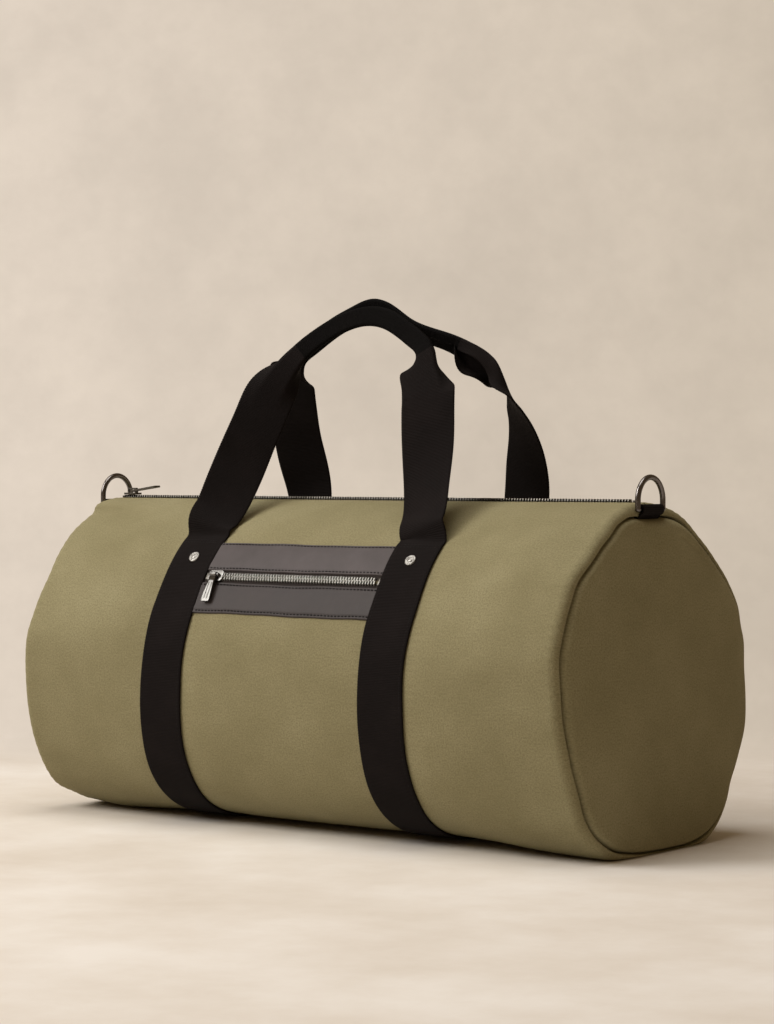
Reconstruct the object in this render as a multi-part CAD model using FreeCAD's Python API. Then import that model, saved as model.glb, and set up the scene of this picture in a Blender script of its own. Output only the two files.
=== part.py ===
import FreeCAD, Part
import math, os

# Cylindrical canvas duffel bag, millimetres, +Z up, +X along the bag to the right, -Y the front.
# The origin is the middle of the footprint on the ground.
V = FreeCAD.Vector
os.makedirs("parts", exist_ok=True)

# ---- driving dimensions ---------------------------------------------------
BAG_L = 500.0            # seam to seam
SEC_W = 243.5            # depth of the body over the webbing
SEC_H = 245.4            # height of the body over the webbing
SEC_ZC = 102.5           # height of the widest point
E_TOP, E_BOT, E_Y1, E_Y2 = 0.87, 0.875, 1.567, 0.614   # fullness of shoulders and belly
TOP_Z = 244.6            # flat under the main zip
TOP_FLAT = 5.0           # half width of that flat
BOT_FLAT = 38.0          # half width of the flat the bag sits on
LEAN, LEAN_Z0, LEAN_Z1 = 10.5, 165.0, 225.0      # the crown, zip and handle seams sit this far forward of the middle
D_WEB = (-1.8, 0.0)      # layers, measured from the outer face of the webbing
D_LEATHER = (-1.8, -0.4)
D_CANVAS = (-3.4, -1.9)
D_TAPE = (-4.2, -3.45)
BULGE = 15.5             # crown of the end panels
ROLL_X = 242.5           # the cloth starts rolling in to the end seam here
SEAM_SCALE = 0.975       # size of the end seam against the body section
SEAM_DROP = 7.0          # the top of the seam is drawn down this much more
WEB_W = 40.0             # webbing
STRAP_X = 103.2          # webbing centre lines
GAP = 0.05

A_HINGE = 42.2           # section angles (0 top, 180 bottom) of the features
A_RIVET = 50.0
A_ZIP = 57.0
SLOT_TOP = 5.5           # half widths of the two zip openings
SLOT_POCKET = 5.5
LEATHER_TOP = 35.0       # leather edges above and below the pocket zip line
LEATHER_BOT = 31.5
LEATHER_HALF = STRAP_X - WEB_W / 2 - 0.1
RIVET_R, POST_R, HOLE_R = 4.5, 1.5, 1.6

PULL_L, PULL_W0, PULL_W1, PULL_T = 24.0, 5.4, 7.6, 1.4
PULL_DROOP = 3.5
MAIN_PULL_RISE = 8.0     # the main pull stands off the cloth by this angle
MAIN_X0 = -235.2         # main slider, closed at the left end
POCKET_X0 = -72.0        # pocket slider, closed at the left end

RING_X, RING_Y, RING_Z = 252.5, -LEAN, 237.7
RING_IN, RING_WIRE, RING_LEG = 28.0, 2.0, 6.0     # clear width, wire radius, straight part of the legs
TAB_W = 27.0


# ---- the body section: a closed chain of tangent arcs ----------------------
def lean(z):
    t = min(max((z - LEAN_Z0) / (LEAN_Z1 - LEAN_Z0), 0.0), 1.0)
    return LEAN * t * t * (3 - 2 * t), LEAN * 6 * t * (1 - t) / (LEAN_Z1 - LEAN_Z0)


def sec(a):
    s, c = math.sin(a), math.cos(a)
    y = -(SEC_W / 2) * abs(s) ** (E_Y1 if c >= 0 else E_Y2)
    if c >= 0:
        z = SEC_ZC + (SEC_H - SEC_ZC) * abs(c) ** E_TOP
    else:
        z = SEC_ZC - SEC_ZC * abs(c) ** E_BOT
    return y, z


def knot(deg, side):
    # side 1 is the front half, -1 the rear half drawn as if it were the front one
    a = math.radians(deg)
    y, z = sec(a)
    h = 1e-4
    if abs(deg - 90.0) < 1e-6:
        return (y, z), (0.0, -1.0)
    y0, z0 = sec(a - h)
    y1, z1 = sec(a + h)
    f, g = lean(z)
    ty, tz = y1 - y0 - side * g * (z1 - z0), z1 - z0
    n = math.hypot(ty, tz)
    return (y - side * f, z), (ty / n, tz / n)


def knots(side):
    k = [((-TOP_FLAT - side * LEAN, TOP_Z), (-1.0, 0.0))]
    for deg in (27.0, 48.0, 60.0, 69.0, 90.0, 113.0, 136.0, 155.0):
        k.append(knot(deg, side))
    k.append(((-BOT_FLAT, 0.0), (1.0, 0.0)))
    return k


def arc_mid(p, t, q):
    # arc through p with tangent t ending at q: its middle point and the tangent at q
    dx, dz = q[0] - p[0], q[1] - p[1]
    d = math.hypot(dx, dz)
    ux, uz = dx / d, dz / d
    cr = t[0] * uz - t[1] * ux
    dt = t[0] * ux + t[1] * uz
    al = math.atan2(cr, dt)                 # turn from t to the chord
    if abs(al) < 1e-9:
        return ((p[0] + q[0]) / 2, (p[1] + q[1]) / 2), t, t
    r = d / (2 * math.sin(al))
    nx, nz = -t[1], t[0]
    cx, cz = p[0] + nx * r, p[1] + nz * r

    def rot(v, g):
        return (v[0] * math.cos(g) - v[1] * math.sin(g), v[0] * math.sin(g) + v[1] * math.cos(g))
    v = (p[0] - cx, p[1] - cz)
    m = rot(v, al)
    return (cx + m[0], cz + m[1]), rot(t, al), rot(t, 2 * al)


def biarc(p0, t0, p1, t1):
    vx, vz = p1[0] - p0[0], p1[1] - p0[1]
    tx, tz = t0[0] + t1[0], t0[1] + t1[1]
    vt = vx * tx + vz * tz
    tt = 2 * (1 - (t0[0] * t1[0] + t0[1] * t1[1]))
    vv = vx * vx + vz * vz
    d = (-vt + math.sqrt(vt * vt + tt * vv)) / tt if tt > 1e-12 else vv / (4 * (vx * t1[0] + vz * t1[1]))
    return ((p0[0] + t0[0] * d + p1[0] - t1[0] * d) / 2, (p0[1] + t0[1] * d + p1[1] - t1[1] * d) / 2)


def chain(side):
    # (start, start tangent, middle, middle tangent, end, end tangent) from the crown down to the ground
    ks, out = knots(side), []
    for (p0, t0), (p1, t1) in zip(ks[:-1], ks[1:]):
        j = biarc(p0, t0, p1, t1)
        m, tm, tj = arc_mid(p0, t0, j)
        out.append((p0, t0, m, tm, j, tj))
        m, tm, te = arc_mid(j, tj, p1)
        out.append((j, tj, m, tm, p1, t1))
    return out


PIECES = {1: chain(1), -1: chain(-1)}


def off(p, t, d):
    return (p[0] + t[1] * d, p[1] - t[0] * d)


def section_wire(d, x, scale=1.0, zmid=118.0, seam=False):
    k = scale * (SEAM_SCALE if seam else 1.0)

    def P(q, flip=False):
        y, z = q
        y, z = y * k, zmid + (z - zmid) * k
        if seam:
            z -= SEAM_DROP * max(0.0, (z - 180.0) / 64.0) ** 2
        return V(x, -y if flip else y, z)
    left, right, first = [], [], {}
    for side, edges in ((1, left), (-1, right)):
        for p0, t0, m, tm, p1, t1 in PIECES[side]:
            a, b, c = off(p0, t0, d), off(m, tm, d), off(p1, t1, d)
            if side > 0:
                edges.append(Part.Arc(P(a), P(b), P(c)).toShape())
            else:
                edges.append(Part.Arc(P(c, True), P(b, True), P(a, True)).toShape())
        first[side] = off(PIECES[side][0][0], PIECES[side][0][1], d)
        last = off(PIECES[side][-1][4], PIECES[side][-1][5], d)
    bottom = Part.makeLine(P(last), P(last, True))
    top = Part.makeLine(P(first[-1], True), P(first[1]))
    return Part.Wire(left + [bottom] + right[::-1] + [top])


def tube(d0, d1, x0, x1):
    out = Part.Face(section_wire(d1, x0)).extrude(V(x1 - x0, 0, 0))
    return out.cut(Part.Face(section_wire(d0, x0 - 1)).extrude(V(x1 - x0 + 2, 0, 0)))


def rolled(d, over):
    # solid bounded by one layer of the body, rolled in to the seam at both ends
    s = Part.Face(section_wire(d, -ROLL_X)).extrude(V(2 * ROLL_X, 0, 0))
    end = Part.makeLoft([section_wire(d, ROLL_X), section_wire(d, BAG_L / 2, seam=True)], True, True)
    if over:
        end = end.fuse(Part.Face(section_wire(d, BAG_L / 2, seam=True)).extrude(V(over, 0, 0)))
    return s.fuse(end).fuse(end.mirror(V(0, 0, 0), V(1, 0, 0)))


def surf(deg, d=0.0, side=1):
    # point, downward tangent and outward normal on the arc chain nearest the asked section angle
    y, z = sec(math.radians(deg))
    y -= side * lean(z)[0]
    best = None
    for p0, t0, m, tm, p1, t1 in PIECES[side]:
        al = math.atan2(t0[0] * t1[1] - t0[1] * t1[0], t0[0] * t1[0] + t0[1] * t1[1])
        chord = math.hypot(p1[0] - p0[0], p1[1] - p0[1])
        for i in range(41):
            g = al * i / 40.0
            if abs(al) > 1e-9:
                r = chord / (2 * math.sin(al / 2))
                nx, nz = -t0[1], t0[0]
                cx, cz = p0[0] + nx * r, p0[1] + nz * r
                vx, vz = p0[0] - cx, p0[1] - cz
                q = (cx + vx * math.cos(g) - vz * math.sin(g), cz + vx * math.sin(g) + vz * math.cos(g))
                t = (t0[0] * math.cos(g) - t0[1] * math.sin(g), t0[0] * math.sin(g) + t0[1] * math.cos(g))
            else:
                q = (p0[0] + (p1[0] - p0[0]) * i / 40.0, p0[1] + (p1[1] - p0[1]) * i / 40.0)
                t = t0
            e = math.hypot(q[0] - y, q[1] - z)
            if best is None or e < best[0]:
                best = (e, q, t)
    _, q, t = best
    q = off(q, t, d)
    return V(0, side * q[0], q[1]), V(0, side * t[0], t[1]), V(0, side * t[1], -t[0])


def local_box(origin, tan, nor, x0, x1, u0, u1, v0, v1):
    # box with u down the surface and v out of it
    pts = [origin + tan * u + nor * v + V(x0, 0, 0) for u, v in ((u0, v0), (u1, v0), (u1, v1), (u0, v1))]
    return Part.Face(Part.makePolygon(pts + [pts[0]])).extrude(V(x1 - x0, 0, 0))


def mirror_x(s):
    return s.mirror(V(0, 0, 0), V(1, 0, 0))


def save(name, shape):
    shape.exportStep("parts/%s.step" % name)
    bb = shape.BoundBox
    print("%-22s solids %d valid %s vol %.1f  x %.1f..%.1f y %.1f..%.1f z %.1f..%.1f" % (
        name, len(shape.Solids), shape.isValid(), shape.Volume, bb.XMin, bb.XMax, bb.YMin, bb.YMax, bb.ZMin, bb.ZMax))


def box(x0, x1, y0, y1, z0, z1):
    return Part.makeBox(x1 - x0, y1 - y0, z1 - z0, V(x0, y0, z0))


# ---- canvas body ----------------------------------------------------------
HL = BAG_L / 2
canvas = rolled(D_CANVAS[1], 0.0).cut(rolled(D_CANVAS[0], 1.0))
canvas = canvas.cut(box(-ROLL_X - 1.5, ROLL_X + 1.5, -LEAN - SLOT_TOP, -LEAN + SLOT_TOP, 200, 300))
Oz, Tz, Nz = surf(A_ZIP, D_CANVAS[1])
canvas = canvas.cut(local_box(Oz, Tz, Nz, -82.5, 82.5, -SLOT_POCKET, SLOT_POCKET, -8, 8))

posts = []
for sx in (-1, 1):
    for side in (1, -1):
        o, t, n = surf(A_RIVET, 0.0, side)
        posts.append((V(sx * STRAP_X, o.y, o.z), n))
for o, n in posts:
    canvas = canvas.cut(Part.makeCylinder(HOLE_R, 12, o - n * 8, n))
save("main_panel", canvas)

# crowned end panels: a lofted sheet, full near the seam and flat in the middle
CROWN = [(1.0, 0.0), (0.985, 3.6), (0.955, 7.2), (0.90, 10.6), (0.80, 13.6), (0.62, BULGE)]


def dome(x0, d, lift, inset):
    wires = [section_wire(d, x0 + max(lift, 0.0) if i == 0 else x0 + h + lift, s - inset * (0.0 if i == 0 else 1.0), seam=True) for i, (s, h) in enumerate(CROWN)]
    return Part.makeLoft(wires, True, True)


outer = dome(HL + GAP, D_CANVAS[1], 0.0, 0.0)
inner_wires = [section_wire(D_CANVAS[1] - 2.0, HL + GAP - 1.0, seam=True)]
for s, h in CROWN[1:]:
    inner_wires.append(section_wire(D_CANVAS[1] - 1.2, HL + GAP + h - 1.5, s - 0.006, seam=True))
inner = Part.makeLoft(inner_wires, True, True)
end_panel = outer.cut(inner)
save("end_panel_right", end_panel)
save("end_panel_left", mirror_x(end_panel))

# ---- main zip along the top -----------------------------------------------
tape = tube(D_TAPE[0], D_TAPE[1], -ROLL_X + 0.2, ROLL_X - 0.2)
save("main_zip_tape_front", tape.common(box(-HL, HL, -LEAN - 15.0, -LEAN - 2.95, 200, 300)))
save("main_zip_tape_rear", tape.common(box(-HL, HL, -LEAN + 2.95, -LEAN + 15.0, 200, 300)))
TEETH_Z = (239.8, 244.5)
save("main_zip_teeth_front", box(-242, 239.4, -LEAN - 2.9, -LEAN - 0.6, *TEETH_Z))
save("main_zip_teeth_rear", box(-242, 239.4, -LEAN + 0.6, -LEAN + 2.9, *TEETH_Z))
stops = [box(x0, x1, -LEAN - 2.8, -LEAN + 2.8, 241.0, 243.9) for x0, x1 in ((-243.9, -242.4), (239.6, 242.0))]
save("main_zip_stops", Part.makeCompound(stops))


def slider_body(top, zlow):
    # rounded top and bottom plates, a thin web between the teeth, an arch for the pull; X along the zip, Z out
    def plate(z0, z1, hl, hw, r):
        b = box(-hl, hl, -hw, hw, z0, z1)
        return b.makeFillet(r, [e for e in b.Edges if abs(e.Vertexes[0].Z - e.Vertexes[1].Z) > 0.5])
    body = plate(top, top + 1.5, 7.0, 4.3, 2.6)
    body = body.fuse(plate(zlow - 1.3, zlow, 6.6, 4.1, 2.4))
    body = body.fuse(box(-2.2, 2.2, -0.5, 0.5, zlow - 0.5, top + 0.5))
    return body


def arch(top, rise, bar_x):
    a = box(-4.6, 4.6, -1.2, 1.2, top + 1.4, top + 1.5 + rise)
    hole = box(-3.2, 3.2, -3, 3, top + 1.5, top + 1.5 + rise - 1.3)
    a = a.cut(hole)
    return a.makeFillet(1.0, [e for e in a.Edges if abs(e.Vertexes[0].Y - e.Vertexes[-1].Y) > 1.0 and e.BoundBox.ZMin > top + 1.5 + rise - 0.1])


mtop = TEETH_Z[1] + 0.15
main_slider = slider_body(mtop, TEETH_Z[0] - 0.15).fuse(arch(mtop, 3.9, 0)).removeSplitter()
main_slider.translate(V(MAIN_X0, -LEAN, 0))
save("main_zip_slider", main_slider)
PIVOT_MZ = mtop + 1.5 + 1.3


def pull_blade(x_start):
    # tapered blade along +X from x_start with a shallow panel pressed in each face, thickness PULL_T about Z=0
    x0, x1 = x_start, x_start + PULL_L - 3.0
    pts = [V(x0, -PULL_W0 / 2, -PULL_T / 2), V(x1, -PULL_W1 / 2, -PULL_T / 2), V(x1, PULL_W1 / 2, -PULL_T / 2), V(x0, PULL_W0 / 2, -PULL_T / 2)]
    b = Part.Face(Part.makePolygon(pts + [pts[0]])).extrude(V(0, 0, PULL_T))
    b = b.makeFillet(1.4, [e for e in b.Edges if abs(e.Vertexes[0].Z - e.Vertexes[1].Z) > 0.5 and e.Vertexes[0].X > x1 - 0.5])
    for s in (1, -1):
        z0 = PULL_T / 2 - 0.35 if s > 0 else -PULL_T / 2
        b = b.cut(box(x0 + 5.5, x1 - 2.2, -1.7, 1.7, z0, z0 + 0.35))
    return b


# the main pull: end bar under the arch, two arms past it, blade lying toward +X at rest
pull = Part.makeCylinder(0.8, 5.4, V(0, -2.7, 0), V(0, 1, 0))
pull = pull.fuse(box(0, 6.6, 1.75, 2.7, -PULL_T / 2, PULL_T / 2)).fuse(box(0, 6.6, -2.7, -1.75, -PULL_T / 2, PULL_T / 2))
for sy in (-1, 1):
    pull = pull.fuse(Part.makeCylinder(0.8, 0.95, V(0, -2.7 if sy < 0 else 1.75, 0), V(0, 1, 0)))
pull = pull.fuse(pull_blade(6.2)).removeSplitter()
mp = pull.copy()
mp.rotate(V(0, 0, 0), V(0, 1, 0), -MAIN_PULL_RISE)
mp.translate(V(MAIN_X0, -LEAN, PIVOT_MZ))
save("main_zip_pull", mp)

# ---- pocket: leather facing, zip, pouch -----------------------------------
leather = tube(D_LEATHER[0], D_LEATHER[1], -LEATHER_HALF, LEATHER_HALF)
save("pocket_leather_upper", leather.common(local_box(Oz, Tz, Nz, -90, 90, -LEATHER_TOP, -SLOT_POCKET, -15, 12)))
save("pocket_leather_lower", leather.common(local_box(Oz, Tz, Nz, -90, 90, SLOT_POCKET, LEATHER_BOT, -15, 12)))
ptape = tube(D_TAPE[0], D_TAPE[1], -86, 86)
save("pocket_zip_tape_upper", ptape.common(local_box(Oz, Tz, Nz, -90, 90, -13.0, -2.95, -12, 6)))
save("pocket_zip_tape_lower", ptape.common(local_box(Oz, Tz, Nz, -90, 90, 2.95, 13.0, -12, 6)))
PT = (-3.1, 0.4)
save("pocket_zip_teeth_upper", local_box(Oz, Tz, Nz, -79, 79, -2.9, -0.6, *PT))
save("pocket_zip_teeth_lower", local_box(Oz, Tz, Nz, -79, 79, 0.6, 2.9, *PT))
save("pocket_zip_stops", Part.makeCompound([local_box(Oz, Tz, Nz, a, b, -2.8, 2.8, PT[0] - 0.1, PT[1] + 0.2) for a, b in ((-82.2, -79.2), (79.2, 82.2))]))


def place(shape):
    pl = FreeCAD.Placement()
    m = FreeCAD.Matrix(1, 0, 0, 0, 0, -Tz.y, Nz.y, 0, 0, -Tz.z, Nz.z, 0, 0, 0, 0, 1)   # Y up the surface, Z out of it
    pl = FreeCAD.Placement(m)
    s = shape.copy()
    s.Placement = pl.multiply(s.Placement)
    s.translate(Oz)
    return s


ptop = PT[1] + 0.15
BARV = ptop + 1.5 + 2.1
ps = slider_body(ptop, PT[0] - 0.15)
for sx in (-1, 1):
    ps = ps.fuse(box(3.1 if sx > 0 else -4.5, 4.5 if sx > 0 else -3.1, -1.0, 1.0, ptop + 1.4, BARV + 0.4))
ps = ps.fuse(Part.makeCylinder(0.75, 9.0, V(-4.5, 0, BARV), V(1, 0, 0))).removeSplitter()
ps.translate(V(POCKET_X0, 0, 0))
save("pocket_zip_slider", place(ps))

# the pocket pull: rolled eye round the bar, blade hanging down the leather
eye = Part.makeCylinder(1.75, 5.4, V(-2.7, 0, BARV), V(1, 0, 0))
blade = pull_blade(1.2)
blade.rotate(V(0, 0, 0), V(0, 0, 1), -90)          # now along -Y (down the surface)
blade.translate(V(0, 0, BARV))
blade.rotate(V(0, 0, BARV), V(1, 0, 0), PULL_DROOP)   # lies in towards the leather
pp = eye.fuse(blade).cut(Part.makeCylinder(0.85, 8, V(-4, 0, BARV), V(1, 0, 0))).removeSplitter()
pp.translate(V(POCKET_X0, 0, 0))
save("pocket_zip_pull", place(pp))
pv = Oz + Nz * BARV
print("POCKET PIVOT", POCKET_X0, round(pv.y, 3), round(pv.z, 3), "tangent", round(Tz.y, 4), round(Tz.z, 4))
print("MAIN PULL PIVOT", MAIN_X0, -LEAN, round(PIVOT_MZ, 3))

A = tube(-9.4, -4.3, -88, 88).common(local_box(Oz, Tz, Nz, -90, 90, -14, 88, -60, 12))
B = tube(-8.8, -4.9, -87.4, 87.4).common(local_box(Oz, Tz, Nz, -90, 90, -13.4, 87.4, -60, 12))
mouth = local_box(Oz, Tz, Nz, -85, 85, -11, 11, -4.6, 3)
pouch = A.cut(B).cut(mouth)
save("pocket_bag", pouch)

# ---- webbing round the body -----------------------------------------------
Oh, Th, Nh = surf(A_HINGE, 0.0)
web = tube(D_WEB[0], D_WEB[1], STRAP_X - WEB_W / 2, STRAP_X + WEB_W / 2)
web = web.common(box(0, 200, -200, 200, -10, Oh.z))
for o, n in posts:
    if o.x > 0:
        web = web.cut(Part.makeCylinder(HOLE_R, 12, o - n * 8, n))
save("strap_right", web)
save("strap_left", mirror_x(web))

# ---- rivets ----------------------------------------------------------------
caps, backs = [], []
for o, n in posts:
    cap = Part.makeCylinder(RIVET_R, 0.7, o + n * 0.03, n)
    sph_r = 9.0
    crown = Part.makeSphere(sph_r, o + n * (1.75 - sph_r)).common(Part.makeCylinder(RIVET_R - 0.3, 3, o + n * 0.5, n))
    post = Part.makeCylinder(POST_R, 5.4, o - n * 4.9, n)
    caps.append(cap.fuse(crown).fuse(post).removeSplitter())
    back = Part.makeCylinder(RIVET_R, 1.2, o - n * 4.85, n).cut(Part.makeCylinder(HOLE_R, 4, o - n * 6, n))
    backs.append(back)
save("rivet_caps", Part.makeCompound(caps))
save("rivet_backs", Part.makeCompound(backs))

# ---- handles ----------------------------------------------------------------
HP = Oh + Nh * 1.1       # hinge lines, just outside the webbing at the top row of stitching
Ohr, Thr, Nhr = surf(A_HINGE, 0.0, -1)
HR = Ohr + Nhr * 1.1
print("HINGE", round(HP.y, 3), round(HP.z, 3), "REAR", round(HR.y, 3), round(HR.z, 3))


def unit(v):
    return v * (1.0 / v.Length)


def handle(st):
    # stations: point, face direction, width, thickness
    wires = []
    pts = [V(*s[0]) for s in st]
    for i, (p, n, w, t) in enumerate(st):
        a, b = pts[max(i - 1, 0)], pts[min(i + 1, len(pts) - 1)]
        tan = unit(b - a)
        n = V(*n)
        wd = V(1, 0, 0) if i in (0, len(st) - 1) else unit(n.cross(tan))
        nn = unit(tan.cross(wd))
        c = pts[i]
        q = [c + wd * (sx * w / 2) + nn * (sn * t / 2) for sx, sn in ((-1, -1), (1, -1), (1, 1), (-1, 1))]
        wires.append(Part.makePolygon(q + [q[0]]))
    s = Part.makeLoft(wires, True, True)
    for x in (pts[0].x, pts[-1].x):
        s = s.fuse(Part.makeCylinder(0.9, WEB_W, V(x - WEB_W / 2, pts[0].y, pts[0].z), V(1, 0, 0)))
    return s


WT = 1.8
GRIP_W, GRIP_T = 15.5, 4.4
front = [
    ((-STRAP_X, HP.y, HP.z), (0, -1, 0), 40, WT),
    ((-100.2, HP.y + 9.6, HP.z + 14), (0.18, -1, 0), 40, WT),
    ((-96.0, -55.2, 246.0), (0.45, -1, 0.00), 40, WT),
    ((-92.6, -45.8, 266.0), (0.58, -1, 0.00), 40, WT),
    ((-87.6, -37.5, 288.0), (0.66, -1, 0.00), 40, WT),
    ((-84.0, -28.5, 308.0), (0.64, -1, 0.00), 40, WT),
    ((-80.2, -21.5, 325.0), (0.52, -1, 0.00), 36.5, 2.2),
    ((-71.5, -16.0, 340.0), (0.30, -1, 0.00), 15.8, 3.7),
    ((-59.6, -12.3, 351.4), (0.12, -1, 0.05), GRIP_W, GRIP_T),
    ((-43.0, -9.4, 363.0), (0.00, -1, 0.12), GRIP_W, GRIP_T),
    ((-22.0, -7.4, 374.0), (0.00, -1, 0.18), GRIP_W, GRIP_T),
    ((-1.0, -6.4, 379.4), (0.00, -1, 0.20), GRIP_W, GRIP_T),
    ((20.5, -7.8, 376.4), (0.00, -1, 0.18), GRIP_W, GRIP_T),
    ((39.0, -10.3, 367.4), (0.04, -1, 0.12), GRIP_W, GRIP_T),
    ((52.8, -13.0, 359.2), (0.14, -1, 0.05), GRIP_W, GRIP_T),
    ((60.4, -15.8, 351.6), (0.26, -1, 0.00), GRIP_W, GRIP_T),
    ((60.0, -19.4, 342.4), (0.34, -1, 0.00), 16.5, 3.2),
    ((67.4, -24.0, 330.5), (0.38, -1, 0.00), 40, WT),
    ((75.5, -30.5, 312.0), (0.42, -1, 0.00), 40, WT),
    ((81.4, -38.5, 288.0), (0.34, -1, 0.00), 40, WT),
    ((87.0, -46.5, 266.0), (0.20, -1, 0.00), 40, WT),
    ((92.6, -55.4, 246.0), (0.05, -1, 0.00), 40, WT),
    ((98.6, HP.y + 9.4, HP.z + 14), (0.02, -1, 0), 40, WT),
    ((STRAP_X, HP.y, HP.z), (0, -1, 0), 40, WT),
]
rear = [
    ((-STRAP_X, HR.y, HR.z), (0, -1, 0), 40, WT),
    ((-102.9, HR.y - 2.6, HR.z + 14), (0.03, -1, 0), 40, WT),
    ((-102.4, 50.6, 248.0), (0.16, -1, 0.00), 40, WT),
    ((-102.8, 45.2, 266.0), (0.28, -1, 0.00), 40, WT),
    ((-103.0, 37.5, 288.0), (0.32, -1, 0.00), 40, WT),
    ((-101.4, 28.8, 309.0), (0.32, -1, 0.00), 40, WT),
    ((-97.6, 21.5, 328.0), (0.34, -1, 0.00), 40, WT),
    ((-90.6, 16.4, 342.4), (0.30, -1, 0.00), 36.8, 2.2),
    ((-82.6, 13.8, 351.2), (0.20, -1, 0.00), 15.5, 4.1),
    ((-70.9, 12.0, 358.2), (0.00, -1, -0.05), GRIP_W, GRIP_T),
    ((-56.4, 10.0, 366.0), (0.00, -1, -0.10), GRIP_W, GRIP_T),
    ((-41.2, 8.2, 373.4), (0.00, -1, -0.12), GRIP_W, GRIP_T),
    ((-20.6, 6.9, 381.2), (0.00, -1, -0.15), GRIP_W, GRIP_T),
    ((-1.0, 6.5, 385.8), (0.00, -1, -0.15), GRIP_W, GRIP_T),
    ((14.0, 6.7, 380.0), (0.00, -1, -0.15), GRIP_W, GRIP_T),
    ((28.7, 7.0, 370.8), (0.00, -1, -0.25), GRIP_W, GRIP_T),
    ((48.8, 7.6, 363.6), (0.00, -1, -0.60), GRIP_W, GRIP_T),
    ((70.6, 9.2, 356.4), (0.04, -1, -0.40), GRIP_W, GRIP_T),
    ((83.0, 11.0, 350.3), (0.05, -1, -0.10), 15.5, 4.0),
    ((93.0, 13.6, 343.6), (-0.12, -1, 0.00), 15.7, 3.7),
    ((102.4, 17.4, 334.8), (-0.95, -1, 0.00), 16.0, 3.5),
    ((108.8, 23.0, 321.8), (-1.70, -1, 0.00), 38.1, 2.1),
    ((110.8, 27.5, 311.6), (-0.98, -1, 0.00), 40, WT),
    ((112.4, 33.2, 300.0), (-0.56, -1, 0.00), 40, WT),
    ((112.4, 39.6, 284.0), (-0.30, -1, 0.00), 40, WT),
    ((110.4, 44.8, 267.0), (-0.10, -1, 0.00), 40, WT),
    ((107.4, 49.4, 248.5), (0.00, -1, 0.00), 40, WT),
    ((104.4, HR.y - 2.8, HR.z + 14), (0.0, -1, 0), 40, WT),
    ((STRAP_X, HR.y, HR.z), (0, -1, 0), 40, WT),
]
save("handle_front", handle(front))
save("handle_rear", handle(rear))

# ---- shoulder-strap rings on the two end seams ------------------------------
c, w = RING_IN / 2 + RING_WIRE, RING_WIRE


def d_ring():
    # bar, two straight legs and a half-round crown of the same wire
    crown = Part.makeTorus(c, w, V(0, 0, RING_LEG), V(1, 0, 0)).common(box(-5, 5, -40, 40, RING_LEG, 60))
    s = crown.fuse(Part.makeCylinder(w, 2 * c, V(0, -c, 0), V(0, 1, 0)))
    for sy in (-1, 1):
        s = s.fuse(Part.makeCylinder(w, RING_LEG, V(0, sy * c, 0), V(0, 0, 1)))
        s = s.fuse(Part.makeSphere(w, V(0, sy * c, 0)))
    return s.removeSplitter()


ring = d_ring()
ring.translate(V(RING_X, RING_Y, RING_Z))
save("d_ring_right", ring)
save("d_ring_left", mirror_x(ring))

# folded webbing tab: loops over the bar and runs back to the seam
tr0, tr1 = RING_WIRE + 0.1, RING_WIRE + 1.6
Y0 = RING_Y - TAB_W / 2
loop = Part.makeCylinder(tr1, TAB_W, V(RING_X, Y0, RING_Z), V(0, 1, 0)).cut(
    Part.makeCylinder(tr0, TAB_W + 2, V(RING_X, Y0 - 1, RING_Z), V(0, 1, 0)))
TOP_IN = TOP_Z + D_CANVAS[1]
k = 118.0 + (TOP_IN - 118.0) * SEAM_SCALE
k -= SEAM_DROP * ((k - 180.0) / 64.0) ** 2                 # canvas height at the top of the seam
n = math.hypot(HL - ROLL_X, TOP_IN - k)
dx, dz = (HL - ROLL_X) / n, (k - TOP_IN) / n               # down the rolled end
q = []
for u, v in ((4.6, 0.12), (n - 0.1, 0.12), (n - 0.1, 1.62), (4.6, 1.62)):
    q.append(V(ROLL_X + dx * u - dz * v, Y0, TOP_IN + dz * u + dx * v))
tail = Part.Face(Part.makePolygon(q + [q[0]])).extrude(V(0, TAB_W, 0))
loop = loop.fuse(tail.cut(Part.makeCylinder(tr0 + 0.1, TAB_W + 2, V(RING_X, Y0 - 1, RING_Z), V(0, 1, 0)))).removeSplitter()
print("seam top", round(k, 2))
save("ring_tab_right", loop)
save("ring_tab_left", mirror_x(loop))
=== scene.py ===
import math
import bpy
import numpy as np
from mathutils import Matrix, Vector


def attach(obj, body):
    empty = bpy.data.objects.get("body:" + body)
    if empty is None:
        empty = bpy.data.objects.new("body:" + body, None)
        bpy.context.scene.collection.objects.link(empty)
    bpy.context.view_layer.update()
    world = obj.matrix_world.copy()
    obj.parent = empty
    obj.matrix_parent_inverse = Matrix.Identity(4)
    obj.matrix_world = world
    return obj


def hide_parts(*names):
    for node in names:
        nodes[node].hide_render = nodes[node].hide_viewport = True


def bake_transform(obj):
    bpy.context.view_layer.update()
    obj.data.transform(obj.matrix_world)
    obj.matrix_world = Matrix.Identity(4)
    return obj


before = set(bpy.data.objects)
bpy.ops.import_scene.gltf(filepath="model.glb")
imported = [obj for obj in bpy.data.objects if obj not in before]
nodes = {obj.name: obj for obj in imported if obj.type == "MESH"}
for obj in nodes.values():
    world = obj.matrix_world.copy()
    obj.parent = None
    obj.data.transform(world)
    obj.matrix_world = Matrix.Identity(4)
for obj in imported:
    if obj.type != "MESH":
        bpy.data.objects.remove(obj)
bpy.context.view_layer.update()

MM = 0.001
TAU = 2 * math.pi
rng = np.random.default_rng(11)
scene = bpy.context.scene

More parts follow.
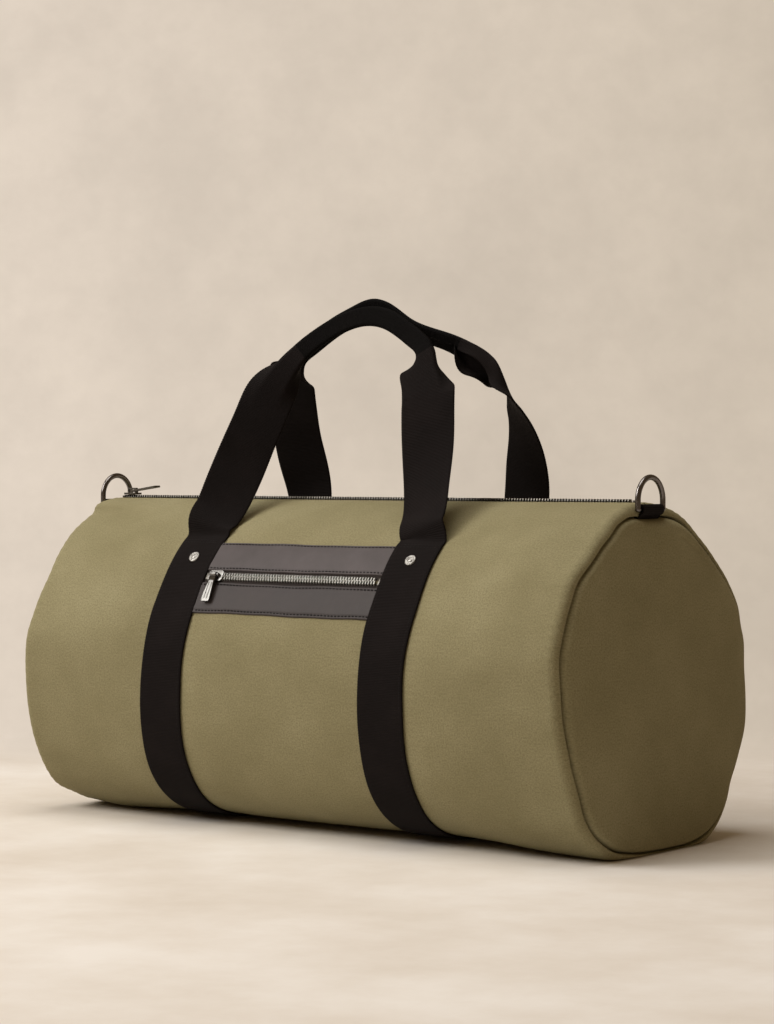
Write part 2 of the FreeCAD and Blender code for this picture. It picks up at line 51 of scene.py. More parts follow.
# =====================================================================
# section curves of the soft body, in mm (same numbers as the CAD source)
# =====================================================================
STRAP = (243.5, 245.4, 102.5, 0.87, 0.875, 1.567, 0.614)     # over the webbing
RING = (234.5, 240.2, 136.0, 1.137, 0.987, 1.228, 0.612)     # canvas at the end seams
NS = 1600


def prof(p, a):
    W, H, zc, et, eb, e1, e2 = p
    s, c = np.abs(np.sin(a)), np.cos(a)
    y = -(W / 2) * np.where(c >= 0, s ** e1, s ** e2) * np.sign(np.sin(a))
    z = np.where(c >= 0, zc + (H - zc) * np.abs(c) ** et, zc - zc * np.abs(c) ** eb)
    return np.stack([y, z], -1)


def resample(P, n):
    Q = np.vstack([P, P[:1]])
    L = np.concatenate([[0], np.cumsum(np.linalg.norm(np.diff(Q, axis=0), axis=1))])
    t = np.linspace(0, L[-1], n, endpoint=False)
    return np.stack([np.interp(t, L, Q[:, 0]), np.interp(t, L, Q[:, 1])], -1), L[-1]


def smooth_closed(P, sig_mm, per):
    n = len(P)
    k = np.fft.fftfreq(n, 1.0 / n) * TAU / per
    g = np.exp(-0.5 * (k * sig_mm) ** 2)
    return np.stack([np.fft.ifft(np.fft.fft(P[:, i]) * g).real for i in range(2)], -1)


def normals_of(P):
    t = np.roll(P, -1, 0) - np.roll(P, 1, 0)
    t /= np.linalg.norm(t, axis=1)[:, None]
    return np.stack([t[:, 1], -t[:, 0]], -1)


def table(p, sig, inset=0.0):
    a = np.linspace(0, TAU, 20001)[:-1]
    P, per = resample(prof(p, a), NS)
    P = smooth_closed(P, sig, per)
    if inset:
        P = P + normals_of(P) * inset
        P, per = resample(P, NS)
        # start again at the top
    top = np.argmin(np.abs(P[:, 0]) + (P[:, 1] < 100) * 1e3)
    return np.roll(P, -top, 0), per


CT, PER = table(STRAP, 6.0, -1.95)        # canvas under and between the straps
RT, PER_R = table(RING, 5.0, 4.6)
CROWN_Z = 242.4
LEAN = 10.5                               # the crown and zip sit this far forward of the middle
CT[:, 1] += (CROWN_Z - CT[0, 1]) * np.exp(-(CT[:, 0] / 26.0) ** 2) * (CT[:, 1] > 150)
CT[:, 1] = np.where(CT[:, 1] < 60, CT[:, 1] + (1.95 - CT[:, 1].min()) * np.clip((60 - CT[:, 1]) / 60, 0, 1), CT[:, 1])


def look(T, q):
    f = (np.asarray(q) % 1.0) * NS
    i = np.floor(f).astype(int)
    w = (f - i)[..., None]
    return T[i % NS] * (1 - w) + T[(i + 1) % NS] * w


def q_of_angle(deg):
    # arc fraction of a section angle measured on the webbing section
    y, z = prof(STRAP, np.array([math.radians(deg)]))[0]
    return float(np.argmin((CT[:NS // 2, 0] - y) ** 2 + (CT[:NS // 2, 1] - z) ** 2)) / NS


Q_HINGE, Q_RIVET, Q_ZIP = q_of_angle(42.2), q_of_angle(50.0), q_of_angle(57.0)
Q_LIP = float(np.argmax(np.abs(CT[:200, 0]) > 4.6)) / NS


def sstep(a, b, x):
    t = np.clip((np.asarray(x, float) - a) / (b - a), 0, 1)
    return t * t * (3 - 2 * t)


def lean(z):
    t = np.clip((np.asarray(z, float) - 165.0) / 60.0, 0, 1)
    return LEAN * t * t * (3 - 2 * t)


# soft, seeded undulation of the cloth -------------------------------------------------
WV = [(rng.normal(0, 1 / 70.0), rng.integers(1, 7), rng.uniform(0, TAU), rng.uniform(0.5, 1)) for _ in range(14)]
WF = [(rng.normal(0, 1 / 22.0), rng.integers(8, 30), rng.uniform(0, TAU), rng.uniform(0.5, 1)) for _ in range(20)]


def waves(W, q, x):
    r = 0
    for kx, kq, ph, am in W:
        r = r + am * np.sin(kx * x * 1.0 + TAU * kq * q + ph)
    return r / math.sqrt(len(W))


def strap_dist(x):
    return np.maximum(np.abs(np.abs(x) - 103.2) - 20.0, 0.0)


def relief(q, x):
    """how far the cloth stands off the smooth section, mm"""
    sd = strap_dist(x)
    off = 1 - np.exp(-(sd / 11.0) ** 2)
    qq = np.minimum(q % 1.0, 1 - q % 1.0)
    pocket = np.exp(-((qq - Q_ZIP) / 0.055) ** 2) * (q % 1.0 < 0.5) * (np.abs(x) < 100)
    crown = sstep(0.0, 0.05, qq)
    d = off * (1 - pocket) * crown * (0.9 + 0.55 * waves(WV, q, x))
    ends = sstep(120, 240, np.abs(x)) * crown
    d = d + ends * 0.38 * waves(WF, q, x)
    # fine puckers where the end seam gathers the cloth
    e = 250.0 - np.abs(x)
    d = d + 0.20 * np.sin(TAU * q * 97 + 1.5 * np.sin(TAU * q * 5)) * np.exp(-(e / 9.0) ** 2) * sstep(0, 3, e)
    # light puckers beside the stitched webbing edges
    d = d + 0.16 * np.sin(TAU * q * 150 + np.sign(x)) * np.exp(-((sd - 3.0) / 3.5) ** 2) * crown
    # a long soft fold under each handle seam, as the webbing pulls the cloth up
    for sx in (-1, 1):
        c = np.exp(-((x - sx * 103.2) / 34.0) ** 2) * off
        d = d - 1.0 * c * np.exp(-((qq - Q_HINGE) / 0.03) ** 2)
    return d


def section(q, x):
    s = sstep(120.0, 249.0, np.abs(x))[..., None]
    P = look(CT, q) * (1 - s) + look(RT, q) * s
    qq = np.minimum(q % 1.0, 1 - q % 1.0)
    # the crown stays level under the zip and drops only beside the end seam
    lift = (CROWN_Z - look(RT, np.zeros(1))[0, 1]) * s[..., 0] * np.exp(-(qq / 0.04) ** 2)
    P = P + np.stack([np.zeros_like(lift), lift], -1)
    # dents in the far rim of the right end
    z = P[..., 1]
    far = ((q % 1.0) > 0.5) * sstep(170, 250, x)
    P[..., 0] = P[..., 0] + far * (4.6 * np.exp(-((z - 140) / 42) ** 2) + 8.0 * np.exp(-((z - 82) / 30) ** 2) - 2.5 * np.exp(-((z - 38) / 9) ** 2) - 1.6 * np.exp(-((z - 152) / 9) ** 2))
    # the cloth slopes away from the crown at both ends: the front shoulders are drawn in
    near = (q % 1.0) < 0.5
    hr = sstep(186, 214, z) * (1 - sstep(222, 238, z)) * sstep(196, 249, x)
    hl = sstep(112, 206, z) * (1 - sstep(229, 241, z)) * sstep(135, 249, -x)
    P[..., 0] = P[..., 0] + near * (9.0 * hr + 17.0 * hl)
    # the lower front bellies out towards the right end
    P[..., 0] = P[..., 0] - near * 9.0 * np.exp(-((z - 12) / 27) ** 2) * sstep(125, 200, x)
    P[..., 0] = P[..., 0] - lean(z)
    return P


def body(q, x, d=0.0, rel=1.0, e=0.0):
    """a point of the cloth: arc fraction q, station x, d outward, e turned in at the end seam"""
    q, x = np.broadcast_arrays(np.asarray(q, float), np.asarray(x, float))
    P = section(q, x)
    h = 1.5 / NS
    t = section(q + h, x) - section(q - h, x)
    t = t / np.linalg.norm(t, axis=-1)[..., None]
    n = np.stack([t[..., 1], -t[..., 0]], -1)
    disp = d + (relief(q, x) * rel if rel else 0) - np.asarray(e, float) + 0 * x
    P = P + n * disp[..., None]
    qq = np.minimum(q % 1.0, 1 - q % 1.0)
    P[..., 1] = P[..., 1] - 0.62 * np.asarray(e, float) * np.exp(-(qq / 0.028) ** 2)   # the tab draws the seam down at the crown
    z = P[..., 1]
    b = np.clip((136 - z) / 136, 0, 1)
    w = (np.abs(x) / 250.0) ** 3
    xx = x + np.sign(x) * w * (1.3 * np.clip((z - 136) / 104, 0, 1) + np.where(x > 0, 9.2, 2.5) * b ** 2 - 1.5 * np.exp(-((z - 136) / 50) ** 2))
    z = z + 6.0 * sstep(196, 250, -x) * np.exp(-(z / 16) ** 2)      # the left corner is rounded and clear of the floor
    zmin = 0.35 + 0.15 * np.sin(x * 0.05)
    z = np.where(z < zmin + 1.5, zmin + 1.5 * np.exp((z - zmin - 1.5) / 1.5), z)
    return np.stack([xx, P[..., 0], z], -1)


# =====================================================================
# mesh helpers
# =====================================================================
def mesh_obj(name, V, F, uv=None, mat=None, smooth=True):
    me = bpy.data.meshes.new(name)
    me.from_pydata((np.asarray(V, float) * MM).tolist(), [], [tuple(int(i) for i in f) for f in F])
    if uv is not None:
        lay = me.uv_layers.new(name="UVMap")
        idx = np.zeros(len(me.loops), np.int32)
        me.loops.foreach_get("vertex_index", idx)
        lay.data.foreach_set("uv", (np.asarray(uv, float)[idx] * MM * 10).astype(np.float32).ravel())
    me.validate()
    me.update()
    if smooth:
        me.polygons.foreach_set("use_smooth", [True] * len(me.polygons))
    o = bpy.data.objects.new(name, me)
    scene.collection.objects.link(o)
    if mat is not None:
        me.materials.append(mat)
    return o


def grid_faces(n, m, close_n=False, close_m=False, base=0, flip=False):
    I = np.arange(n if close_n else n - 1)
    J = np.arange(m if close_m else m - 1)
    a, b = np.meshgrid(I, J, indexing="ij")
    a2, b2 = (a + 1) % n, (b + 1) % m
    f = np.stack([a * m + b, a2 * m + b, a2 * m + b2, a * m + b2], -1).reshape(-1, 4) + base
    return f[:, ::-1] if flip else f


def join(parts):
    V, F, U, k = [], [], [], 0
    for v, f, u in parts:
        V.append(v), U.append(u if u is not None else np.zeros((len(v), 2)))
        F += [tuple(int(i) + k for i in ff) for ff in f]
        k += len(v)
    return np.vstack(V), F, np.vstack(U)


def tube_mesh(C, rings, closed_path=False, caps=True):
    """C: (n, m, 3) rings of a closed cross-section"""
    n, m = C.shape[:2]
    F = [tuple(f) for f in grid_faces(n, m, close_n=closed_path, close_m=True)]
    if caps and not closed_path:
        F.append(tuple(range(m)))
        F.append(tuple(range((n - 1) * m, n * m))[::-1])
    return C.reshape(-1, 3), F


def arc_len(P):
    return np.concatenate([[0], np.cumsum(np.linalg.norm(np.diff(P, axis=0), axis=1))])


def catmull(P, n):
    """centripetal-free smooth spline through P sampled n times, uniform in arc length"""
    P = np.asarray(P, float)
    k = len(P)
    t = arc_len(P[:, :3])
    # natural cubic spline per column
    h = np.diff(t)
    A = np.zeros((k, k))
    B = np.zeros_like(P)
    A[0, 0] = A[-1, -1] = 1
    for i in range(1, k - 1):
        A[i, i - 1], A[i, i], A[i, i + 1] = h[i - 1], 2 * (h[i - 1] + h[i]), h[i]
        B[i] = 6 * ((P[i + 1] - P[i]) / h[i] - (P[i] - P[i - 1]) / h[i - 1])
    M = np.linalg.solve(A, B)
    ts = np.linspace(0, t[-1], n)
    i = np.clip(np.searchsorted(t, ts) - 1, 0, k - 2)
    hh = h[i][:, None]
    a, b = (t[i + 1] - ts)[:, None], (ts - t[i])[:, None]
    return (M[i] * a ** 3 + M[i + 1] * b ** 3) / (6 * hh) + (P[i] / hh - M[i] * hh / 6) * a + (P[i + 1] / hh - M[i + 1] * hh / 6) * b


def capsule(p, t, n, L, r, squash=0.7):
    """one thread stitch: a short rounded bar along t"""
    t = t / np.linalg.norm(t)
    s = np.cross(n, t)
    s /= np.linalg.norm(s)
    n = np.cross(t, s)
    out = []
    for u, k in ((-0.5, 0.25), (-0.38, 0.85), (0.0, 1.0), (0.38, 0.85), (0.5, 0.25)):
        dip = -r * 0.9 * (2 * abs(u)) ** 2.5
        for j in range(6):
            g = TAU * j / 6
            out.append(p + t * (u * L) + s * (math.cos(g) * r * k) + n * (math.sin(g) * r * k * squash + dip))
    F = []
    for i in range(4):
        for j in range(6):
            F.append((i * 6 + j, i * 6 + (j + 1) % 6, (i + 1) * 6 + (j + 1) % 6, (i + 1) * 6 + j))
    F.append((5, 4, 3, 2, 1, 0))
    F.append((24, 25, 26, 27, 28, 29))
    return np.array(out), F


def stitch_line(P, N, pitch=3.2, L=2.5, r=0.28, lift=0.05, jitter=0.06):
    """parts for a row of stitches along the polyline P with normals N"""
    s = arc_len(P)
    k = max(int(s[-1] / pitch), 1)
    parts = []
    for i in range(k):
        m = (i + 0.5) * s[-1] / k
        c = np.array([np.interp(m, s, P[:, j]) for j in range(3)])
        a = np.array([np.interp(m - 0.6, s, P[:, j]) for j in range(3)])
        b = np.array([np.interp(m + 0.6, s, P[:, j]) for j in range(3)])
        n = np.array([np.interp(m, s, N[:, j]) for j in range(3)])
        n /= np.linalg.norm(n)
        t = b - a
        if np.linalg.norm(t) < 1e-9:
            continue
        t = t / np.linalg.norm(t)
        side = np.cross(n, t)
        t = t + side * rng.normal(0, jitter)
        v, f = capsule(c + n * lift, t, n, L, r)
        parts.append((v, f, None))
    return parts


# =====================================================================
# procedural materials
# =====================================================================
class Mat:
    def __init__(self, name):
        self.m = bpy.data.materials.new(name)
        self.m.use_nodes = True
        self.t = self.m.node_tree
        self.b = self.t.nodes["Principled BSDF"]
        self.x = -300

    def node(self, kind, **kw):
        n = self.t.nodes.new(kind)
        self.x -= 40
        n.location = (self.x, 0)
        for k, v in kw.items():
            if k in n.inputs:
                n.inputs[k].default_value = v
            else:
                setattr(n, k, v)
        return n

    def link(self, a, b):
        self.t.links.new(a, b)

    def coords(self, kind="UV", scale=(1, 1, 1)):
        tc = self.node("ShaderNodeTexCoord")
        mp = self.node("ShaderNodeMapping")
        mp.inputs["Scale"].default_value = scale
        self.link(tc.outputs[kind], mp.inputs["Vector"])
        return mp.outputs["Vector"]

    def math(self, op, a, b=None, clamp=False):
        n = self.node("ShaderNodeMath", operation=op, use_clamp=clamp)
        for i, v in enumerate((a, b)):
            if v is None:
                continue
            if hasattr(v, "is_linked") or hasattr(v, "links"):
                self.link(v, n.inputs[i])
            else:
                n.inputs[i].default_value = v
        return n.outputs[0]

    def noise(self, vec, scale, detail=3.0, rough=0.55):
        n = self.node("ShaderNodeTexNoise", Scale=scale, Detail=detail, Roughness=rough)
        self.link(vec, n.inputs["Vector"])
        return n.outputs["Fac"]

    def ramp(self, fac, stops):
        n = self.node("ShaderNodeValToRGB")
        e = n.color_ramp.elements
        while len(e) < len(stops):
            e.new(0.5)
        for i, (p, c) in enumerate(stops):
            e[i].position = p
            e[i].color = (*c, 1) if len(c) == 3 else c
        self.link(fac, n.inputs["Fac"])
        return n.outputs["Color"]

    def mix(self, fac, a, b, blend="MIX"):
        n = self.node("ShaderNodeMix", data_type="RGBA", blend_type=blend)
        for i, v in ((0, fac), (6, a), (7, b)):
            if hasattr(v, "links"):
                self.link(v, n.inputs[i])
            else:
                n.inputs[i].default_value = v if i == 0 or len(v) == 4 else (*v, 1)
        return n.outputs[2]

    def bump(self, height, strength, distance, chain=None):
        n = self.node("ShaderNodeBump", Strength=strength, Distance=distance)
        self.link(height, n.inputs["Height"])
        if chain is not None:
            self.link(chain, n.inputs["Normal"])
        return n.outputs["Normal"]

    def wave(self, vec, scale, axis, profile="SIN", distortion=0.0, kind="BANDS"):
        n = self.node("ShaderNodeTexWave", wave_type=kind, bands_direction=axis, wave_profile=profile, Scale=scale, Distortion=distortion)
        self.link(vec, n.inputs["Vector"])
        return n.outputs["Fac"]

    def out(self, **kw):
        for k, v in kw.items():
            k = k.replace("_", " ")
            if hasattr(v, "links"):
                self.link(v, self.b.inputs[k])
            else:
                self.b.inputs[k].default_value = v
        return self.m


# UVs are laid out as 10 x metres, so 1 mm of cloth is 0.01 of UV; a wave of pitch p mm has scale 100 / (p * 20 * pi) * 2 pi
def pitch(p):
    return 100.0 / p * TAU / 20.0


def cloth_mat(name, base, dark, light, p=0.8, rough=0.92, sheen=0.25, bump=0.35, grit=0.9):
    m = Mat(name)
    v = m.coords("UV")
    wu = m.wave(v, pitch(p), "X", distortion=0.0)
    wv = m.wave(v, pitch(p), "Y", distortion=0.0)
    weave = m.math("MULTIPLY", wu, wv)
    slub_u = m.noise(m.coords("UV", (6, 90, 1)), 1.6, 2.0)
    slub_v = m.noise(m.coords("UV", (90, 6, 1)), 1.6, 2.0)
    slub = m.math("ADD", slub_u, slub_v)
    grain = m.noise(v, 78.0, 3.0, 0.75)
    big = m.noise(v, 1.3, 4.0, 0.55)
    mid = m.noise(v, 9.0, 4.0, 0.6)
    col = m.ramp(big, [(0.30, dark), (0.52, base), (0.74, light)])
    col = m.mix(m.math("MULTIPLY", m.math("SUBTRACT", slub, 0.75, clamp=True), 0.55, clamp=True), col, light)
    col = m.mix(m.math("MULTIPLY", m.math("SUBTRACT", 0.62, mid, clamp=True), 0.55, clamp=True), col, dark)
    col = m.mix(m.math("MULTIPLY", m.math("SUBTRACT", 0.60, grain, clamp=True), grit, clamp=True), col, tuple(c * 0.55 for c in dark))
    h = m.math("ADD", m.math("MULTIPLY", weave, 0.7), m.math("MULTIPLY", slub, 0.35))
    h = m.math("ADD", h, m.math("MULTIPLY", grain, 0.3))
    nrm = m.bump(h, bump, 0.00035)
    nrm = m.bump(mid, 0.10, 0.0012, nrm)
    return m.out(Base_Color=col, Roughness=rough, Normal=nrm, Sheen_Weight=sheen, Sheen_Roughness=0.55, Sheen_Tint=(*light, 1), Specular_IOR_Level=0.18)


def webbing_mat(name, base, light, rib=1.15, sheen=0.036):
    m = Mat(name)
    v = m.coords("UV")
    ribs = m.wave(v, pitch(rib), "Y", "SIN", 0.15)
    warp = m.wave(v, pitch(0.9), "X", "SIN", 0.0)
    twill = m.wave(v, pitch(1.1), "DIAGONAL", "SIN", 0.0)
    n1 = m.noise(v, 120.0, 2.0, 0.6)
    big = m.noise(v, 2.2, 3.0, 0.5)
    h = m.math("ADD", m.math("MULTIPLY", ribs, 0.7), m.math("MULTIPLY", m.math("MULTIPLY", warp, ribs), 0.45))
    h = m.math("ADD", h, m.math("MULTIPLY", n1, 0.25))
    c = m.mix(m.math("MULTIPLY", h, 0.42, clamp=True), base, light)
    c = m.mix(m.math("MULTIPLY", m.math("SUBTRACT", big, 0.45, clamp=True), 1.1, clamp=True), c, tuple(k * 1.35 for k in light))
    nrm = m.bump(h, 0.5, 0.0004)
    return m.out(Base_Color=c, Roughness=0.85, Normal=nrm, Sheen_Weight=sheen, Sheen_Roughness=0.4, Sheen_Tint=(0.45, 0.38, 0.36, 1), Specular_IOR_Level=0.08)


def leather_mat(name, base, light):
    m = Mat(name)
    v = m.coords("UV")
    vor = m.node("ShaderNodeTexVoronoi", Scale=95.0, feature="DISTANCE_TO_EDGE")
    m.link(v, vor.inputs["Vector"])
    cells = m.math("MULTIPLY", vor.outputs["Distance"], 6.0, clamp=True)
    pores = m.noise(v, 210.0, 2.0, 0.6)
    big = m.noise(v, 2.6, 4.0, 0.6)
    col = m.ramp(big, [(0.3, base), (0.7, light)])
    col = m.mix(m.math("MULTIPLY", m.math("SUBTRACT", 0.5, pores, clamp=True), 0.6, clamp=True), col, tuple(c * 0.5 for c in base))
    rough = m.math("ADD", m.math("MULTIPLY", big, 0.16), 0.50)
    nrm = m.bump(m.math("ADD", m.math("MULTIPLY", cells, 0.5), m.math("MULTIPLY", pores, 0.5)), 0.22, 0.00025)
    return m.out(Base_Color=col, Roughness=rough, Normal=nrm, Specular_IOR_Level=0.30)


def metal_mat(name, base, rough=0.3, brushed=0.0, wear=(0.6, 0.6, 0.6), metallic=1.0, tarnish=0.35):
    m = Mat(name)
    v = m.coords("Object", (1, 1, 1))
    n1 = m.noise(v, 900.0, 3.0, 0.6)
    n2 = m.noise(v, 90.0, 4.0, 0.6)
    br = m.noise(m.coords("Object", (60, 2600, 2600)), 1.0, 2.0, 0.5)
    col = m.mix(m.math("MULTIPLY", m.math("SUBTRACT", n2, 0.42, clamp=True), tarnish * 3, clamp=True), base, tuple(c * 0.55 for c in base))
    col = m.mix(m.math("MULTIPLY", m.math("SUBTRACT", n1, 0.6, clamp=True), 1.2, clamp=True), col, wear)
    r = m.math("ADD", m.math("MULTIPLY", n2, 0.22), rough - 0.1)
    nrm = m.bump(m.math("ADD", m.math("MULTIPLY", br, brushed), m.math("MULTIPLY", n1, 0.15)), 0.35, 0.00006)
    return m.out(Base_Color=col, Metallic=metallic, Roughness=r, Normal=nrm)


def thread_mat(name, base, light):
    m = Mat(name)
    v = m.coords("Object")
    n = m.noise(v, 1600.0, 2.0, 0.6)
    tw = m.wave(v, 260.0, "DIAGONAL")
    col = m.ramp(m.math("MULTIPLY", m.math("ADD", n, tw), 0.5), [(0.25, base), (0.8, light)])
    return m.out(Base_Color=col, Roughness=0.75, Normal=m.bump(tw, 0.4, 0.00008), Sheen_Weight=0.0, Specular_IOR_Level=0.15)


M_CANVAS = cloth_mat("canvas", (0.262, 0.231, 0.127), (0.215, 0.187, 0.097), (0.312, 0.280, 0.162), p=0.85, grit=2.1)
M_WEB = webbing_mat("webbing", (0.0054, 0.0039, 0.0036), (0.0135, 0.0100, 0.0097))
# darker, less glossy copy of the webbing for the folded grip: painted shade
M_GRIP_PAINTED_SHADE = webbing_mat("webbing_grip_painted_shade", (0.0012, 0.0008, 0.0007), (0.0034, 0.0024, 0.0021), sheen=0.006)
M_LEATHER = leather_mat("leather", (0.056, 0.046, 0.046), (0.083, 0.070, 0.071))
# darker copy of the same leather for the lower facing: painted shade
M_LEATHER_LOWER_PAINTED_SHADE = leather_mat("leather_lower_painted_shade", (0.030, 0.0235, 0.0228), (0.046, 0.037, 0.036))
M_TAPE = cloth_mat("zip_tape", (0.030, 0.024, 0.022), (0.018, 0.014, 0.013), (0.048, 0.040, 0.036), p=0.7, sheen=0.1)
M_POUCH = cloth_mat("pouch_cloth", (0.10, 0.09, 0.07), (0.07, 0.06, 0.05), (0.13, 0.12, 0.09), p=0.5)
M_TEETH = metal_mat("zip_metal", (0.13, 0.12, 0.105), 0.36, 0.1, (0.34, 0.32, 0.28), tarnish=0.6)
M_TEETH_P = metal_mat("zip_metal_light", (0.27, 0.26, 0.24), 0.36, 0.1, (0.46, 0.45, 0.42), tarnish=0.5)
M_SILVER = metal_mat("silver_metal", (0.20, 0.195, 0.185), 0.36, 0.6, (0.34, 0.33, 0.31), tarnish=0.45)
M_RIVET = metal_mat("rivet_metal", (0.30, 0.29, 0.27), 0.42, 0.3, (0.44, 0.43, 0.40), tarnish=0.5)
M_RING = metal_mat("ring_metal", (0.17, 0.155, 0.148), 0.24, 0.2, (0.30, 0.28, 0.26), tarnish=0.4)
M_THREAD = thread_mat("thread_dark", (0.005, 0.004, 0.004), (0.014, 0.011, 0.011))
M_THREAD_OLIVE = thread_mat("thread_olive", (0.15, 0.13, 0.07), (0.27, 0.24, 0.14))


# =====================================================================
# canvas shell
# =====================================================================
def x_columns():
    """stations along the bag with the roll-in at the end seams: (x, e)"""
    core = np.linspace(-238, 238, 206)
    g = np.linspace(0, math.pi / 2, 17)[0:]
    xe = np.concatenate([[240.0, 241.6], 243.0 + 7.2 * np.sin(g), [250.0, 249.2, 247.6, 245.8]])
    ee = np.concatenate([[0.0, 0.0], 5.4 * (1 - np.cos(g)), [5.75, 6.05, 6.3, 6.4]])
    return np.concatenate([-xe[::-1], core, xe]), np.concatenate([ee[::-1], core * 0, ee])


XC, EC = x_columns()
NQ = 620
# the slot is open only between the zip ends, the cloth closes over beyond them
qs = np.linspace(0, 1, NQ)
lip = np.where(np.abs(XC) < 243.6, Q_LIP, Q_LIP * np.clip((246.6 - np.abs(XC)) / 3.0, 0.03, 1))
lip = np.where(EC > 3.5, Q_LIP * 0.03, lip)
Qg = lip[None, :] + (1 - 2 * lip[None, :]) * qs[:, None]
Xg = np.broadcast_to(XC, Qg.shape)
P = body(Qg, Xg, e=np.broadcast_to(EC, Qg.shape))
# folded hem at both zip lips: the cloth turns under and runs back beneath itself
hem = []
for side in (0, 1):
    q0 = lip if side == 0 else 1 - lip
    sg = -1 if side == 0 else 1
    edge = body(q0, XC, e=EC)
    open_ = np.clip((244.0 - np.abs(XC)) / 1.0, 0.02, 1)
    rows = []
    for k in range(1, 9):
        g = math.pi * k / 8
        r = 0.75
        rows.append(edge + np.stack([np.zeros_like(XC), -sg * r * math.sin(g) * open_, -r * (1 - math.cos(g)) * open_], -1))
    for k in (1, 2, 3):
        rows.append(rows[7] + np.stack([0 * XC, sg * 2.2 * k * open_, -0.35 * k * open_], -1))
    hem.append(rows)
full = np.concatenate([np.stack(hem[0][::-1]), P, np.stack(hem[1])])
n, m = full.shape[:2]
vcoord = np.concatenate([Q_LIP * PER - np.arange(11, 0, -1) * 0.5, qs * PER, (1 - Q_LIP) * PER + np.arange(1, 12) * 0.5])
uv = np.stack(np.meshgrid(vcoord, XC, indexing="ij")[::-1], -1).reshape(-1, 2)
shell = mesh_obj("canvas_shell", full.reshape(-1, 3), grid_faces(n, m, flip=True), uv, M_CANVAS)
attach(shell, "bag")
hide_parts("main_panel")


# =====================================================================
# crowned end panels
# =====================================================================
def end_panel(sx, name, node):
    na, nr = 460, 110
    q = np.linspace(0, 1, na, endpoint=False)
    rim = body(q, np.full(na, 250.0 * sx), rel=0.6, e=6.9)
    base = body(q, np.full(na, 250.0 * sx), rel=0.0, e=6.9)[:, 0]
    mid = np.array([0.0, 121.0])
    yz = rim[:, 1:] - mid
    rad = np.linalg.norm(yz, axis=1)
    th = np.arctan2(rim[:, 1], rim[:, 2] - 121.0)
    V = []
    for tt in np.linspace(1, 0, nr):
        r = 1 - tt ** 2.3
        p = mid + yz * r
        edge = (1 - r) * rad                       # mm in from the rim
        crown = -3.6 + 6.4 * (1 - np.exp(-edge / 0.95)) + 2.3 * (1 - np.exp(-edge / 6.0)) + 8.2 * (1 - np.exp(-(edge / 50.0) ** 1.35))
        w = sstep(0, 6, edge)
        # drawn up under the tab, with a soft crease beside it along the far rim
        pinch = np.exp(-(th / 0.16) ** 2) * np.exp(-((edge - 7) / 12) ** 2)
        tf = (th - 0.12) / 0.52 if sx > 0 else (-th - 0.10) / 0.45
        win = sstep(0.0, 0.25, tf) * (1 - sstep(0.75, 1.05, tf))
        line = 7.0 + 6.0 * np.clip(1 - tf, 0, 1)
        crease = win * (np.exp(-((edge - line) / 2.6) ** 2) - 0.7 * np.exp(-((edge - line + 6.5) / 4.5) ** 2))
        near = np.exp(-((th + 0.30) / 0.16) ** 2) * np.exp(-((edge - 24) / 22) ** 2)
        slack = 1.1 * np.sin(3 * th + 0.7) * np.exp(-((edge - 30) / 28) ** 2) + 0.7 * np.sin(5 * th + 2.1) * np.exp(-((edge - 15) / 14) ** 2)
        puck = 0.22 * np.sin(67 * th + 2 * np.sin(4 * th)) * np.exp(-((edge - 3) / 5) ** 2)
        wide = 1.0 * np.sin(p[:, 0] * 0.035 + 0.6) * np.sin(p[:, 1] * 0.028 + 1.1)
        bulge = crown + 1.6 * pinch * w - 0.8 * crease * w - 1.7 * near * w + (slack + puck + wide * sstep(0, 40, edge)) * w
        xr = sx * (250.0 + bulge) + (base - 250.0 * sx) * r ** 5
        V.append(np.stack([xr, p[:, 0], p[:, 1]], -1))
    V = np.stack(V)                                # radial x angular
    n, m = V.shape[:2]
    pts = V.reshape(-1, 3)
    F = grid_faces(n, m, close_m=True, flip=(sx < 0))
    uv = np.stack([pts[:, 1], pts[:, 2]], -1)
    o = mesh_obj(name, pts, F, uv, M_CANVAS)
    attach(o, "bag")
    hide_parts(node)
    return o


end_panel(1, "end_cap_right", "end_panel_right")
end_panel(-1, "end_cap_left", "end_panel_left")


# =====================================================================
# webbing: straps round the body and handles
# =====================================================================
def serr(s):
    # woven selvage: small even scallops along both edges
    return 0.26 * (0.5 + 0.5 * np.cos(TAU * s / 1.9))


ACROSS = np.linspace(-1, 1, 25)


